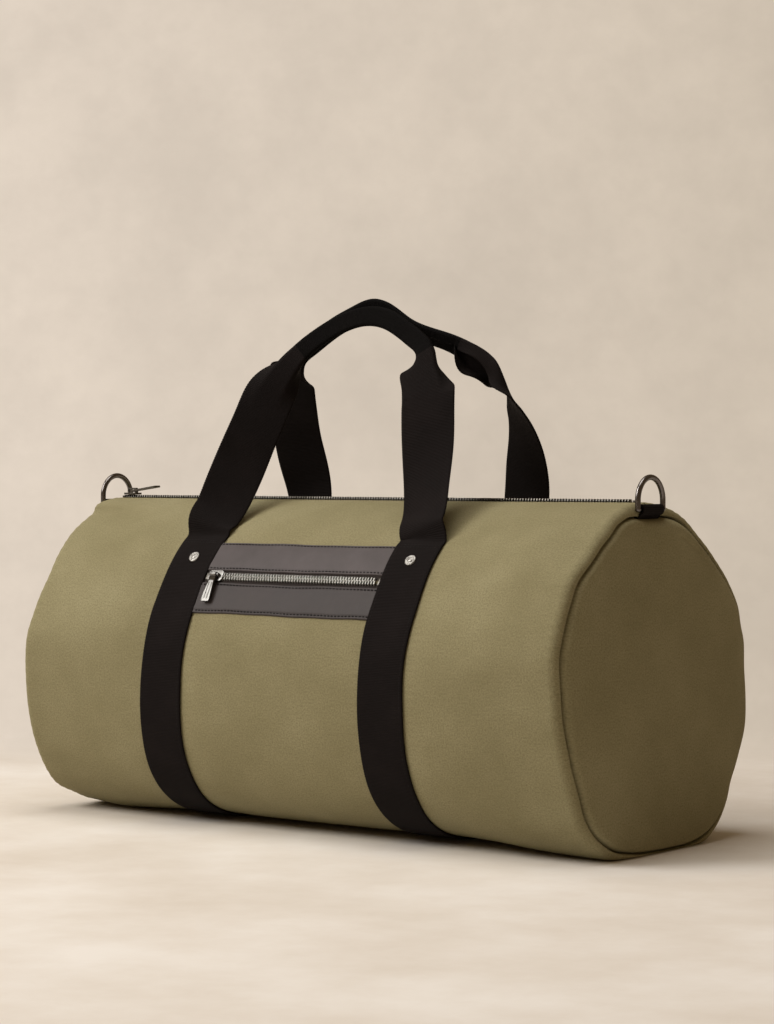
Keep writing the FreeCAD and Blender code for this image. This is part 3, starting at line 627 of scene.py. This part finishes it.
def web_section(half, thick, fold, s, asym=0.0):
    """cross-section loop (lateral, depth) in mm; depth + is the face side. fold 0 flat, 1 both edges turned behind"""
    u = ACROSS * half
    uf = 9.3
    fp, fn = min(max(fold - asym, 0.0), 1.0), min(max(fold + asym, 0.0), 1.0)      # the two edges need not open together
    if max(fp, fn) > 1e-3:
        uu = np.linspace(-half, half, 161)
        th = np.where(uu > 0, fp, fn) * math.pi * (lambda t: t * t * (3 - 2 * t))(np.clip((np.abs(uu) - (uf - 1.9)) / 3.8, 0, 1))
        du = uu[1] - uu[0]
        lat = np.zeros_like(uu)
        dep = np.zeros_like(uu)
        mid = 80
        for i in range(mid + 1, 161):
            lat[i] = lat[i - 1] + math.cos(th[i]) * du
            dep[i] = dep[i - 1] - math.sin(th[i]) * du
        for i in range(mid - 1, -1, -1):
            lat[i] = lat[i + 1] - math.cos(th[i]) * du
            dep[i] = dep[i + 1] - math.sin(th[i]) * du
        # sample so that the folded bend gets enough points
        w = np.interp(u, uu, lat)
        d = np.interp(u, uu, dep)
        t = np.gradient(np.stack([lat, dep], -1), axis=0)
        t /= np.linalg.norm(t, axis=1)[:, None]
        nx, nd = np.interp(u, uu, -t[:, 1]), np.interp(u, uu, t[:, 0])
        L = np.stack([w * (1 - 0.21 * np.where(u > 0, fp, fn)), d + 0.6 * (fp + fn)], -1)
        N = np.stack([nx, nd], -1)
        N /= np.linalg.norm(N, axis=1)[:, None]
    else:
        L = np.stack([u, np.zeros_like(u)], -1)
        N = np.tile([0.0, 1.0], (len(u), 1))
    h = thick / 2 * (1 - np.clip((np.abs(ACROSS) - 0.955) / 0.045, 0, 1) ** 2 * 0.55)
    front, back = L + N * h[:, None], L - N * h[:, None]
    return np.vstack([front, back[::-1]])          # 2 x len(ACROSS) loop


ACROSS = np.concatenate([[-1, -0.985, -0.955], np.linspace(-0.9, 0.9, 31), [0.955, 0.985, 1]])
U_LOOP = np.concatenate([ACROSS * 20, ACROSS[::-1] * 20 + 60])


def web_tube(path, W, Nn, folds, s0, half=20.0, thick=1.75, asym=None):
    """path (n,3) mid line, W width dirs, Nn face dirs"""
    s = arc_len(path) + s0
    rings = []
    for i in range(len(path)):
        hw = half - serr(s[i]) + (0.25 * math.sin(s[i] * 0.043) + 0.18 * math.sin(s[i] * 0.101 + 1.3))
        cs = web_section(hw, thick, folds[i], s[i], 0.0 if asym is None else asym[i])
        rings.append(path[i] + cs[:, :1] * W[i] + cs[:, 1:] * Nn[i])
    C = np.stack(rings)
    v, F = tube_mesh(C, None)
    uv = np.stack(np.meshgrid(s, U_LOOP, indexing="ij")[::-1], -1).reshape(-1, 2)
    return v, F, uv, s


WEB_X = {-1: -103.2, 1: 101.2}                # the webbing is sewn on by hand and sits a little in on the right
STEP = 0.475
for sx, name in ((-1, "left"), (1, "right")):
    L = (1 - 2 * Q_HINGE) * PER
    k = int(L / STEP)
    q = np.linspace(Q_HINGE, 1 - Q_HINGE, k)
    x0 = np.full(k, WEB_X[sx]) + 0.5 * np.sin(q * 23 + sx) * np.sin(math.pi * (q - Q_HINGE) / (1 - 2 * Q_HINGE))
    if sx < 0:
        x0 = x0 + 1.6 * (1 - sstep(Q_HINGE, 0.17, q))
        x0 = x0 - 5.6 * sstep(0.20, 0.42, q) * (1 - sstep(0.5, 0.7, q))
    mid = body(q, x0, d=1.05, rel=0)
    a, b = body(q, x0, d=0.0, rel=0), body(q, x0, d=2.0, rel=0)
    Nn = b - a
    Nn /= np.linalg.norm(Nn, axis=1)[:, None]
    mid[:, 2] = np.maximum(mid[:, 2], 0.92)
    W = np.tile([1.0, 0, 0], (k, 1))
    v, F, uv, s = web_tube(mid, W, Nn, np.zeros(k), 0.0)
    o = mesh_obj("strap_web_" + name, v, F, uv, M_WEB)
    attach(o, "bag")
    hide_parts("strap_" + name)
    parts = []
    idx = np.arange(0, k, 4)
    for e in (-17.4, 17.4):
        Pm = mid[idx] + np.array([e, 0, 0]) + Nn[idx] * 0.86
        parts += stitch_line(Pm, Nn[idx], pitch=3.3, L=2.5, r=0.27)
    for base, rows in ((0.0, (1.2, 3.4)),):
        for side in (0, 1):
            for off in rows:
                qq = Q_HINGE + off / PER if side == 0 else 1 - Q_HINGE - off / PER
                xs = np.linspace(WEB_X[sx] - 16.5, WEB_X[sx] + 16.5, 12)
                Pm = body(np.full(12, qq), xs, d=1.98, rel=0)
                nn = body(np.full(12, qq), xs, d=3.0, rel=0) - body(np.full(12, qq), xs, d=2.0, rel=0)
                parts += stitch_line(Pm, nn, pitch=2.9, L=2.2, r=0.3)
    V_, F_, U_ = join(parts)
    o = mesh_obj("strap_stitch_" + name, V_, F_, None, M_THREAD)
    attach(o, "bag")

def station_path(st, sy):
    """st rows: x, y, z, nx, nz, fold and how much earlier the inner edge opens; sy -1 front, +1 rear"""
    st = [tuple(r) + (0.0,) * (7 - len(r)) for r in st]
    q = Q_HINGE if sy < 0 else 1 - Q_HINGE
    ends = []
    for sx in (-1, 1):
        xe_ = WEB_X[sx] + (1.6 if sx < 0 else 0.0)
        a = body(np.array([q]), np.array([xe_]), d=1.05, rel=0)[0]
        qb = q - 6.0 / PER if sy < 0 else q + 6.0 / PER
        b = body(np.array([qb]), np.array([xe_]), d=1.25, rel=0)[0]
        ends.append((a, b))
    rows = [[*ends[0][0], 0, 0, 0, 0], [*ends[0][1], 0.01, 0, 0, 0]] + [list(r) for r in st] + [[*ends[1][1], 0.0, 0, 0, 0], [*ends[1][0], 0, 0, 0, 0]]
    rows = np.array(rows, float)
    Ltot = arc_len(rows[:, :3])[-1]
    S_ = catmull(rows, int(Ltot / STEP))
    path = S_[:, :3]
    t = np.gradient(path, axis=0)
    t /= np.linalg.norm(t, axis=1)[:, None]
    face = np.stack([S_[:, 3], np.full(len(path), -1.0 if sy < 0 else -1.0), S_[:, 4]], -1)
    if sy > 0:
        face = np.stack([S_[:, 3], np.full(len(path), 1.0), S_[:, 4]], -1)
    # the weave cannot follow every bend, so its edges follow the smoothed line
    kn = np.exp(-0.5 * (np.arange(-90, 91) / 30.0) ** 2)
    kn /= kn.sum()
    sm = np.stack([np.convolve(np.concatenate([2 * path[0, i] - path[90:0:-1, i], path[:, i], 2 * path[-1, i] - path[-2:-92:-1, i]]), kn, "valid") for i in range(3)], -1)
    ts = np.gradient(sm, axis=0)
    ts /= np.linalg.norm(ts, axis=1)[:, None]
    al = arc_len(path)
    far_ = sstep(14, 60, np.minimum(al, al[-1] - al))[:, None]      # near the stitching it lies exactly on the path
    ts = ts * far_ + t * (1 - far_)
    ts /= np.linalg.norm(ts, axis=1)[:, None]
    W = np.cross(ts, face)
    W /= np.linalg.norm(W, axis=1)[:, None]
    # the webbing leaves the body square to its edges
    s = arc_len(path)
    e = np.minimum(s, s[-1] - s)
    k = sstep(0, 16, e)[:, None]
    sign = np.sign(W[:, :1])
    W = W * k + sign * np.array([[1.0, 0, 0]]) * (1 - k)
    W /= np.linalg.norm(W, axis=1)[:, None]
    Nn = np.cross(W, t)
    Nn /= np.linalg.norm(Nn, axis=1)[:, None]
    out = np.sum(Nn * face, axis=1)
    Nn = Nn * np.sign(out)[:, None]
    return path, W, Nn, np.clip(S_[:, 5], 0, 1), -sy * S_[:, 6]


front = [
    (-101.2, -69.0, 222.5, 0.10, 0, 0),
    (-99.0, -62.2, 233.0, 0.25, 0, 0),
    (-96.0, -55.2, 246.0, 0.45, 0, 0),
    (-92.6, -45.8, 266.0, 0.58, 0, 0),
    (-87.6, -37.5, 288.0, 0.66, 0, 0),
    (-84.0, -28.5, 308.0, 0.64, 0, 0.0),
    (-80.2, -21.5, 325.0, 0.52, 0, 0.10),
    (-72.2, -16.2, 339.6, 0.32, 0, 0.40),
    (-60.8, -12.3, 352.6, 0.14, 0.05, 0.86),
    (-43.6, -9.4, 364.6, 0.0, 0.12, 1.0),
    (-22.0, -7.4, 374.8, 0.0, 0.18, 1.0),
    (-1.0, -6.4, 379.4, 0.0, 0.20, 1.0),
    (20.5, -7.8, 376.4, 0.0, 0.18, 1.0),
    (39.0, -10.3, 367.4, 0.04, 0.12, 1.0),
    (52.8, -13.0, 359.2, 0.14, 0.05, 1.0),
    (61.0, -15.6, 352.2, 0.26, 0, 0.97),
    (64.0, -18.0, 346.0, 0.30, 0, 0.50, 0.29),
    (65.5, -20.6, 339.2, 0.34, 0, 0.27, 0.27),
    (70.1, -24.2, 329.5, 0.38, 0, 0.14, 0.14),
    (73.8, -28.0, 320.4, 0.41, 0, 0.01, 0.01),
    (76.2, -31.5, 311.0, 0.41, 0, 0.0),
    (81.4, -38.5, 288.0, 0.34, 0, 0),
    (87.0, -46.5, 266.0, 0.20, 0, 0),
    (92.6, -55.4, 246.0, 0.05, 0, 0),
    (96.2, -63.4, 232.0, 0.0, 0, 0),
    (98.8, -69.2, 222.5, 0.0, 0, 0),
]
rear = [
    (-103.0, 55.2, 222.5, 0.0, 0, 0),
    (-102.6, 53.6, 233.0, -0.05, 0, 0),
    (-102.4, 50.6, 248.0, -0.16, 0, 0),
    (-102.8, 45.2, 266.0, -0.28, 0, 0),
    (-103.0, 37.5, 288.0, -0.32, 0, 0),
    (-99.8, 28.8, 309.0, -0.32, 0, 0.0),
    (-96.4, 21.5, 328.0, -0.34, 0, 0.0),
    (-90.0, 16.4, 342.0, -0.30, 0, 0.24),
    (-82.6, 13.8, 351.2, -0.20, 0, 0.88),
    (-70.9, 12.0, 358.2, 0.0, 0.05, 1.0),
    (-56.4, 10.0, 366.0, 0.0, 0.10, 1.0),
    (-41.2, 8.2, 373.4, 0.0, 0.12, 1.0),
    (-20.6, 6.9, 381.2, 0.0, 0.15, 1.0),
    (-1.0, 6.5, 385.8, 0.0, 0.15, 1.0),
    (14.0, 6.7, 380.0, 0.0, 0.15, 1.0),
    (28.7, 7.0, 370.8, 0.0, 0.25, 1.0),
    (48.8, 7.6, 363.6, 0.0, 0.60, 1.0),
    (70.6, 9.2, 356.4, -0.04, 0.40, 1.0),
    (83.0, 11.0, 350.3, -0.05, 0.10, 0.62, 0.22),
    (93.0, 13.9, 343.9, 0.10, 0, 0.60, 0.18),
    (103.2, 17.6, 335.2, 0.95, 0, 0.57, 0.07),
    (108.8, 23.0, 321.8, 1.25, 0, 0.04, 0.02),
    (110.8, 27.5, 311.6, 0.86, 0, 0),
    (112.4, 33.2, 300.0, 0.56, 0, 0),
    (112.4, 39.6, 284.0, 0.30, 0, 0),
    (110.4, 44.8, 267.0, 0.10, 0, 0),
    (107.4, 49.4, 248.5, 0.0, 0, 0),
    (104.2, 53.0, 232.5, 0.0, 0, 0),
    (102.2, 55.0, 222.5, 0.0, 0, 0),
]
for st, sy, name in ((front, -1, "front"), (rear, 1, "rear")):
    path, W, Nn, folds, asym = station_path(st, sy)
    v, F, uv, s = web_tube(path, W, Nn, folds, 0.0, asym=asym)
    o = mesh_obj("handle_web_" + name, v, F, uv, M_WEB)
    o.data.materials.append(M_GRIP_PAINTED_SHADE)                     # the doubled grip takes a darker copy of the webbing: painted shade
    per = len(U_LOOP)
    # faces along the fully folded grip take the painted-shade copy of the webbing
    for p in o.data.polygons:
        r_ = p.vertices[0] // per
        if r_ < len(folds) and folds[r_] > 0.9:
            p.material_index = 1
    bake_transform(o)
    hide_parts("handle_" + name)
    # stitching that closes the folded grip
    idx = np.arange(0, len(path), 4)
    full_i = [i for i in idx if folds[i] > 0.985]
    parts = []
    gp = path[full_i] - Nn[full_i] * 2.2 + W[full_i] * 1.0
    parts += stitch_line(gp, -Nn[full_i], pitch=3.3, L=2.5, r=0.28, lift=0.3)
    V_, F_, U_ = join(parts)
    o = mesh_obj("handle_stitch_" + name, V_, F_, None, M_THREAD)
    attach(o, name + "_handle")


# =====================================================================
# leather facing of the pocket
# =====================================================================
def surf_pt(q, x, d):
    return body(q, x, d=d, rel=0)


LH = 83.6
for name, u0, u1 in (("upper", -35.0, -5.6), ("lower", 5.6, 31.5)):
    nx_, nu = 260, 40
    xs = np.linspace(-LH, LH, nx_)
    us = np.linspace(0, 1, nu)
    U, X = np.meshgrid(us, xs, indexing="ij")
    e0 = 0.30 * np.sin(xs * 0.055 + (0.4 if name == "upper" else 2.0)) + 0.18 * np.sin(xs * 0.13 + 1.0)
    e1 = 0.28 * np.sin(xs * 0.048 + (1.7 if name == "upper" else 0.3)) + 0.15 * np.sin(xs * 0.16)
    lo_, hi_ = u0 + e0, u1 + e1
    Uu = lo_[None, :] + (hi_ - lo_)[None, :] * U
    Q = Q_ZIP + Uu / PER
    ed = np.minimum(U, 1 - U) * (u1 - u0)
    thick = 1.45 - 0.75 * np.exp(-(ed / 0.55) ** 2)
    dent = 0.45 * np.exp(-((ed - 2.1) / 0.9) ** 2) + 0.10 * np.sin(X * 0.09 + U * 5) * np.exp(-((ed - 6) / 8) ** 2)
    top = surf_pt(Q, X, 0.15 + thick - dent + 0.25 * np.sin(X * 0.035 + 1) * np.sin(U * math.pi))
    # closed skin: top, then edges down to the canvas
    rim0 = surf_pt(Q[0], xs, 0.1)
    rim1 = surf_pt(Q[-1], xs, 0.1)
    G = np.concatenate([rim0[None], top, rim1[None]])
    n, m = G.shape[:2]
    vv = np.concatenate([[u0 - 1], np.linspace(u0, u1, nu), [u1 + 1]])
    uv = np.stack(np.meshgrid(vv, xs, indexing="ij")[::-1], -1).reshape(-1, 2)
    # the lower facing takes the painted-shade copy of the leather
    o = mesh_obj("pocket_facing_" + name, G.reshape(-1, 3), grid_faces(n, m, flip=True), uv, M_LEATHER if name == "upper" else M_LEATHER_LOWER_PAINTED_SHADE)
    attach(o, "bag")
    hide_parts("pocket_leather_" + name)
    parts = []
    for which, ee in ((lo_, 2.1), (hi_, -2.1)):
        Qs = Q_ZIP + (which + ee) / PER
        Pm = surf_pt(Qs, xs, 1.35)
        nn = surf_pt(Qs, xs, 2.4) - surf_pt(Qs, xs, 1.4)
        parts += stitch_line(Pm[3:-3], nn[3:-3], pitch=3.1, L=2.5, r=0.52, lift=0.10)
    V_, F_, U_ = join(parts)
    o = mesh_obj("pocket_stitch_" + name, V_, F_, None, M_THREAD)
    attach(o, "bag")


# =====================================================================
# zips: tape and teeth
# =====================================================================
def strip(fn, a, b, na, x0, x1, nx_, name, node, mat):
    aa = np.linspace(a, b, na)
    xs = np.linspace(x0, x1, nx_)
    A, X = np.meshgrid(aa, xs, indexing="ij")
    G = fn(A, X)
    uv = np.stack(np.meshgrid(aa, xs, indexing="ij")[::-1], -1).reshape(-1, 2)
    o = mesh_obj(name, G.reshape(-1, 3), grid_faces(na, nx_, flip=a < b), uv, mat)
    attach(o, "bag")
    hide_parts(node)
    return o


def main_tape(A, X):
    return np.stack([X, A - LEAN, 241.35 - 0.012 * A ** 2], -1)


strip(main_tape, -14, -1.6, 14, -243.2, 243.2, 120, "main_tape_front", "main_zip_tape_front", M_TAPE)
strip(main_tape, 14, 1.6, 14, -243.2, 243.2, 120, "main_tape_rear", "main_zip_tape_rear", M_TAPE)


def pocket_fn(d0):
    def f(A, X):
        return surf_pt(Q_ZIP + A / PER, X, d0 + 0 * A)
    return f


strip(pocket_fn(0.35), -8.5, -1.5, 10, -83.4, 83.4, 60, "pocket_tape_upper", "pocket_zip_tape_upper", M_TAPE)
strip(pocket_fn(0.35), 1.5, 8.5, 10, -83.4, 83.4, 60, "pocket_tape_lower", "pocket_zip_tape_lower", M_TAPE)


def tooth(hx, w0, w1, h):
    """one tooth reaching from w0 (tape side) to w1 (past the middle), local X along zip, Y across, Z out"""
    prof_ = [(w0, 0.0, 1.0), (w0 + (w1 - w0) * 0.12, 1.0, 1.0), (w0 + (w1 - w0) * 0.55, 1.0, 0.95), (w0 + (w1 - w0) * 0.80, 0.95, 0.80), (w1, 0.45, 0.55)]
    V = []
    for y, k, kx in prof_:
        hh = h * (0.55 + 0.45 * k)
        V += [(-hx * kx, y, 0), (-hx * kx, y, hh * 0.8), (-hx * kx * 0.55, y, hh), (hx * kx * 0.55, y, hh), (hx * kx, y, hh * 0.8), (hx * kx, y, 0)]
    F = []
    for i in range(4):
        for j in range(6):
            F.append((i * 6 + j, i * 6 + (j + 1) % 6, (i + 1) * 6 + (j + 1) % 6, (i + 1) * 6 + j))
    F.append((5, 4, 3, 2, 1, 0))
    F.append((24, 25, 26, 27, 28, 29))
    return np.array(V, float), F


def teeth(name, node, x0, x1, pitch_, side, place, h=2.2, mat=None, half=0.62):
    base, F = tooth(half, side * 3.1, -side * 0.9, h)
    if side < 0:
        F = [f[::-1] for f in F]
    k = int((x1 - x0) / pitch_)
    parts = []
    for i in range(k):
        x = x0 + (i + (0.0 if side < 0 else 0.5)) * pitch_ + rng.normal(0, 0.03)
        parts.append((place(base + np.array([0, rng.normal(0, 0.04), rng.normal(0, 0.03)]), x), F, None))
    V_, F_, _ = join(parts)
    o = mesh_obj(name, V_, F_, None, mat or M_TEETH, smooth=False)
    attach(o, "bag")
    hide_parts(node)


def place_main(v, x):
    return np.stack([v[:, 0] + x, v[:, 1] - LEAN, v[:, 2] + 241.6], -1)


ZO = surf_pt(np.array([Q_ZIP]), np.array([0.0]), 0.35)[0]
ZN = surf_pt(np.array([Q_ZIP]), np.array([0.0]), 1.35)[0] - ZO
ZT = np.cross(ZN, np.array([1.0, 0, 0]))
ZT = ZT * (1 if ZT[2] < 0 else -1)


def place_pocket(v, x):
    return ZO + np.outer(v[:, 0] + x, [1, 0, 0]) + np.outer(v[:, 1], ZT) + np.outer(v[:, 2], ZN)


teeth("main_teeth_front", "main_zip_teeth_front", -241.4, 238.8, 2.4, -1, place_main, 2.78)
teeth("main_teeth_rear", "main_zip_teeth_rear", -241.4, 238.0, 2.4, 1, place_main, 2.78)
teeth("pocket_teeth_upper", "pocket_zip_teeth_upper", -79.0, 79.5, 2.5, -1, place_pocket, 1.8, M_TEETH_P, 0.50)
teeth("pocket_teeth_lower", "pocket_zip_teeth_lower", -79.0, 79.5, 2.5, 1, place_pocket, 1.8, M_TEETH_P, 0.50)

# thread along the canvas lips beside the main zip
parts = []
xs = np.linspace(-240, 240, 300)
for sy in (-1, 1):
    dq = 3.0 / PER
    q = Q_LIP + dq if sy < 0 else 1 - Q_LIP - dq
    Pm = body(np.full_like(xs, q), xs, d=0.0)
    nn = body(np.full_like(xs, q), xs, d=1.0) - Pm
    parts += stitch_line(Pm, nn, pitch=3.1, L=2.4, r=0.25, lift=0.02)
V_, F_, _ = join(parts)
o = mesh_obj("lip_stitch", V_, F_, None, M_THREAD_OLIVE)
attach(o, "bag")


# =====================================================================
# ring tabs
# =====================================================================
for sx, name in ((-1, "left"), (1, "right")):
    cx, cz, r = 252.5, 237.7, 2.85
    pts = []
    for k in range(6):                                  # out of the seam, up behind the bar
        pts.append((247.6 + 0.26 * k, 231.2 + k * 1.05))
    for k in range(26):                                 # over the bar and round under it
        g = math.radians(188 - k * 10.4)
        pts.append((cx + r * math.cos(g), cz + r * math.sin(g)))
    pts += [(251.3, 233.9), (250.2, 232.6), (249.3, 231.0)]
    pts = np.array(pts)
    NP = 130
    pth = catmull(np.stack([pts[:, 0], np.zeros(len(pts)), pts[:, 1]], -1), NP)
    path = np.stack([sx * pth[:, 0], np.full(NP, -LEAN), pth[:, 2]], -1)
    t = np.gradient(path, axis=0)
    t /= np.linalg.norm(t, axis=1)[:, None]
    W = np.tile([0, 1.0, 0], (NP, 1))
    Nn = np.cross(W, t)
    Nn *= np.sign(np.sum(Nn * (path - np.array([sx * cx, -LEAN, cz])), axis=1))[:, None]
    rings = []
    s = arc_len(path)
    for i in range(NP):
        half = 13.4 - 0.5 * serr(s[i])
        cs = web_section(half, 1.35, 0.0, s[i])
        dr = np.clip((236.5 - path[i][2]) / 5.0, 0, 1)
        droop = -0.012 * dr * cs[:, :1] ** 2
        rings.append(path[i] + cs[:, :1] * W[i] + cs[:, 1:] * Nn[i] + np.array([0, 0, 1.0]) * droop)
    v, F = tube_mesh(np.stack(rings), None)
    uv = np.stack(np.meshgrid(s, U_LOOP, indexing="ij")[::-1], -1).reshape(-1, 2)
    o = mesh_obj("ring_loop_" + name, v, F, uv, M_WEB)
    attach(o, "bag")
    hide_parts("ring_tab_" + name)


# =====================================================================
# rivet caps: turned discs with a raised rim and a centre boss
# =====================================================================
def lathe(profile, seg=40):
    V, F = [], []
    for r, h in profile:
        for j in range(seg):
            g = TAU * j / seg
            V.append((r * math.cos(g), r * math.sin(g), h))
    for i in range(len(profile) - 1):
        for j in range(seg):
            F.append((i * seg + j, i * seg + (j + 1) % seg, (i + 1) * seg + (j + 1) % seg, (i + 1) * seg + j))
    F.append(tuple(range((len(profile) - 1) * seg, len(profile) * seg)))
    return np.array(V), F


cap_prof = [(4.45, 0.0), (4.5, 0.35), (4.35, 0.75), (4.0, 0.98), (3.5, 1.02), (3.2, 0.92), (2.95, 0.72), (2.6, 0.66), (2.2, 0.80), (1.9, 1.08), (1.2, 1.30), (0.5, 1.38), (0.05, 1.39)]
cv, cf = lathe(cap_prof)
parts = []
for sx in (-1, 1):
    for side in (0, 1):
        qr = Q_RIVET - (2.4 / PER if sx > 0 else 0.0)
        q = qr if side == 0 else 1 - qr
        xr = WEB_X[sx] + (2.2 if sx < 0 and side == 0 else 0.0)
        o_ = body(np.array([q]), np.array([xr]), d=1.92, rel=0)[0]
        n_ = body(np.array([q]), np.array([xr]), d=2.92, rel=0)[0] - o_
        t_ = np.cross(n_, [1, 0, 0])
        parts.append((o_ + np.outer(cv[:, 0], [1, 0, 0]) + np.outer(cv[:, 1], t_) + np.outer(cv[:, 2], n_), cf, None))
V_, F_, _ = join(parts)
o = mesh_obj("rivet_heads", V_, F_, None, M_RIVET)
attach(o, "bag")
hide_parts("rivet_caps")


def show(node, mat, bevel=0.0, seg=2, ang=40):
    o = nodes[node]
    o.data.materials.clear()
    o.data.materials.append(mat)
    for p in o.data.polygons:
        p.use_smooth = True
        p.material_index = 0
    if bevel:
        w = o.modifiers.new("weld", "WELD")
        w.merge_threshold = 1e-5
        b = o.modifiers.new("soft_edges", "BEVEL")
        b.width, b.segments, b.limit_method, b.angle_limit = bevel * MM, seg, "ANGLE", math.radians(ang)
        b.harden_normals = False


show("main_zip_slider", M_TEETH, 0.28, 3)
show("pocket_zip_slider", M_SILVER, 0.30, 3)
show("main_zip_pull", M_TEETH, 0.22, 3)
show("pocket_zip_pull", M_SILVER, 0.22, 3)
show("main_zip_stops", M_TEETH, 0.3)
show("pocket_zip_stops", M_TEETH, 0.3)
show("rivet_backs", M_SILVER, 0.2)
show("pocket_bag", M_POUCH)
show("d_ring_left", M_RING)
show("d_ring_right", M_RING)


# =====================================================================
# studio: pale floor, warm plaster distance, soft light, camera
# =====================================================================
PHI, THE, F_PX = 0.6595, 0.01721, 2690.7
CAM = np.array([1.24673, -1.58961, 0.26771])
r_ = np.array([math.cos(PHI), math.sin(PHI), 0])
f_ = np.array([-math.sin(PHI) * math.cos(THE), math.cos(PHI) * math.cos(THE), -math.sin(THE)])
u_ = np.cross(r_, f_)
cam_d = bpy.data.cameras.new("camera")
cam = bpy.data.objects.new("camera", cam_d)
scene.collection.objects.link(cam)
cam.matrix_world = Matrix(((r_[0], u_[0], -f_[0], CAM[0]), (r_[1], u_[1], -f_[1], CAM[1]), (r_[2], u_[2], -f_[2], CAM[2]), (0, 0, 0, 1)))
cam_d.sensor_width = 36
cam_d.lens = F_PX * 36 / 1024
cam_d.clip_start, cam_d.clip_end = 0.05, 60
scene.camera = cam
scene.view_settings.view_transform = "Standard"
scene.view_settings.look = "None"



def plaster(t, link, node):
    """plaster wall seen far behind: a left to right falloff with soft trowel marks"""
    tc = node("ShaderNodeTexCoord")
    sep = node("ShaderNodeSeparateXYZ")
    link(tc.outputs["Window"], sep.inputs[0])
    g = node("ShaderNodeMix")
    g.data_type = "RGBA"
    g.inputs[6].default_value = (0.752, 0.650, 0.545, 1)
    g.inputs[7].default_value = (0.622, 0.532, 0.430, 1)
    link(sep.outputs["X"], g.inputs[0])
    mp = node("ShaderNodeMapping")
    mp.inputs["Scale"].default_value = (0.756, 1.0, 1.0)
    link(tc.outputs["Window"], mp.inputs["Vector"])
    col = g.outputs[2]
    for scale, detail, dist, amt, lo_, hi_ in ((2.4, 7.0, 0.25, 0.055, 0.35, 0.65), (9.0, 8.0, 0.1, 0.035, 0.4, 0.62), (45.0, 4.0, 0.0, 0.012, 0.4, 0.6)):
        n1 = node("ShaderNodeTexNoise")
        n1.inputs["Scale"].default_value, n1.inputs["Detail"].default_value, n1.inputs["Roughness"].default_value = scale, detail, 0.6
        n1.inputs["Distortion"].default_value = dist
        link(mp.outputs["Vector"], n1.inputs["Vector"])
        rp = node("ShaderNodeMapRange")
        rp.inputs["From Min"].default_value, rp.inputs["From Max"].default_value = lo_, hi_
        rp.inputs["To Min"].default_value, rp.inputs["To Max"].default_value = 1 - amt, 1 + amt * 0.7
        link(n1.outputs["Fac"], rp.inputs["Value"])
        vm = node("ShaderNodeVectorMath")
        vm.operation = "SCALE"
        link(col, vm.inputs[0])
        link(rp.outputs["Result"], vm.inputs["Scale"])
        col = vm.outputs["Vector"]
    return col


fm = Mat("floor")
wall_col = plaster(fm.t, fm.link, lambda k: fm.node(k))
em = fm.node("ShaderNodeEmission", Strength=1.0)
fm.link(wall_col, em.inputs["Color"])
geo = fm.node("ShaderNodeNewGeometry")
dot = fm.node("ShaderNodeVectorMath", operation="DOT_PRODUCT")
fm.link(geo.outputs["Position"], dot.inputs[0])
dot.inputs[1].default_value = (-math.sin(PHI), math.cos(PHI), 0)
rp = fm.node("ShaderNodeMapRange")
rp.inputs["From Min"].default_value, rp.inputs["From Max"].default_value = 0.30, 0.62
rp.interpolation_type = "SMOOTHSTEP"
fm.link(dot.outputs["Value"], rp.inputs["Value"])
ob = fm.coords("Object")
fn = fm.noise(ob, 5.0, 6.0, 0.62)
fn2 = fm.noise(ob, 40.0, 5.0, 0.6)
fcol = fm.ramp(fn, [(0.34, (0.70, 0.635, 0.555)), (0.50, (0.77, 0.715, 0.645)), (0.66, (0.84, 0.80, 0.745))])
fm.out(Base_Color=fcol, Roughness=0.72, Normal=fm.bump(fn2, 0.12, 0.002))
mx = fm.node("ShaderNodeMixShader")
fm.link(rp.outputs["Result"], mx.inputs[0])
fm.link(fm.b.outputs[0], mx.inputs[1])
fm.link(em.outputs[0], mx.inputs[2])
fm.link(mx.outputs[0], fm.t.nodes["Material Output"].inputs["Surface"])
fl = mesh_obj("floor", np.array([(-9000, -9000, 0), (9000, -9000, 0), (9000, 9000, 0), (-9000, 9000, 0)]), [(0, 1, 2, 3)], None, fm.m, smooth=False)

world = bpy.data.worlds.new("studio")
scene.world = world
world.use_nodes = True
wt = world.node_tree
bg = wt.nodes["Background"]
wn = lambda k: wt.nodes.new(k)
wcol = plaster(wt, lambda a, b: wt.links.new(a, b), wn)
lp = wn("ShaderNodeLightPath")
bg2 = wn("ShaderNodeBackground")
wt.links.new(wcol, bg2.inputs["Color"])
bg2.inputs["Strength"].default_value = 1.0
bg.inputs["Color"].default_value = (1.0, 0.71, 0.42, 1)
bg.inputs["Strength"].default_value = 0.20
ms = wn("ShaderNodeMixShader")
wt.links.new(lp.outputs["Is Camera Ray"], ms.inputs[0])
wt.links.new(bg.outputs[0], ms.inputs[1])
wt.links.new(bg2.outputs[0], ms.inputs[2])
wt.links.new(ms.outputs[0], wt.nodes["World Output"].inputs["Surface"])


def area(name, loc, target, size, power, col):
    d = bpy.data.lights.new(name, "AREA")
    d.shape, d.size, d.energy, d.color = "DISK", size, power, col
    o = bpy.data.objects.new(name, d)
    scene.collection.objects.link(o)
    o.location = loc
    o.rotation_euler = (Vector(target) - Vector(loc)).to_track_quat("-Z", "Y").to_euler()
    return o


area("key", (-1.65, -1.85, 2.0), (0, 0, 0.12), 1.95, 74, (1.0, 0.978, 0.95))
area("top", (-0.3, -0.2, 2.6), (-0.1, 0, 0.1), 1.8, 34, (1.0, 0.975, 0.94))
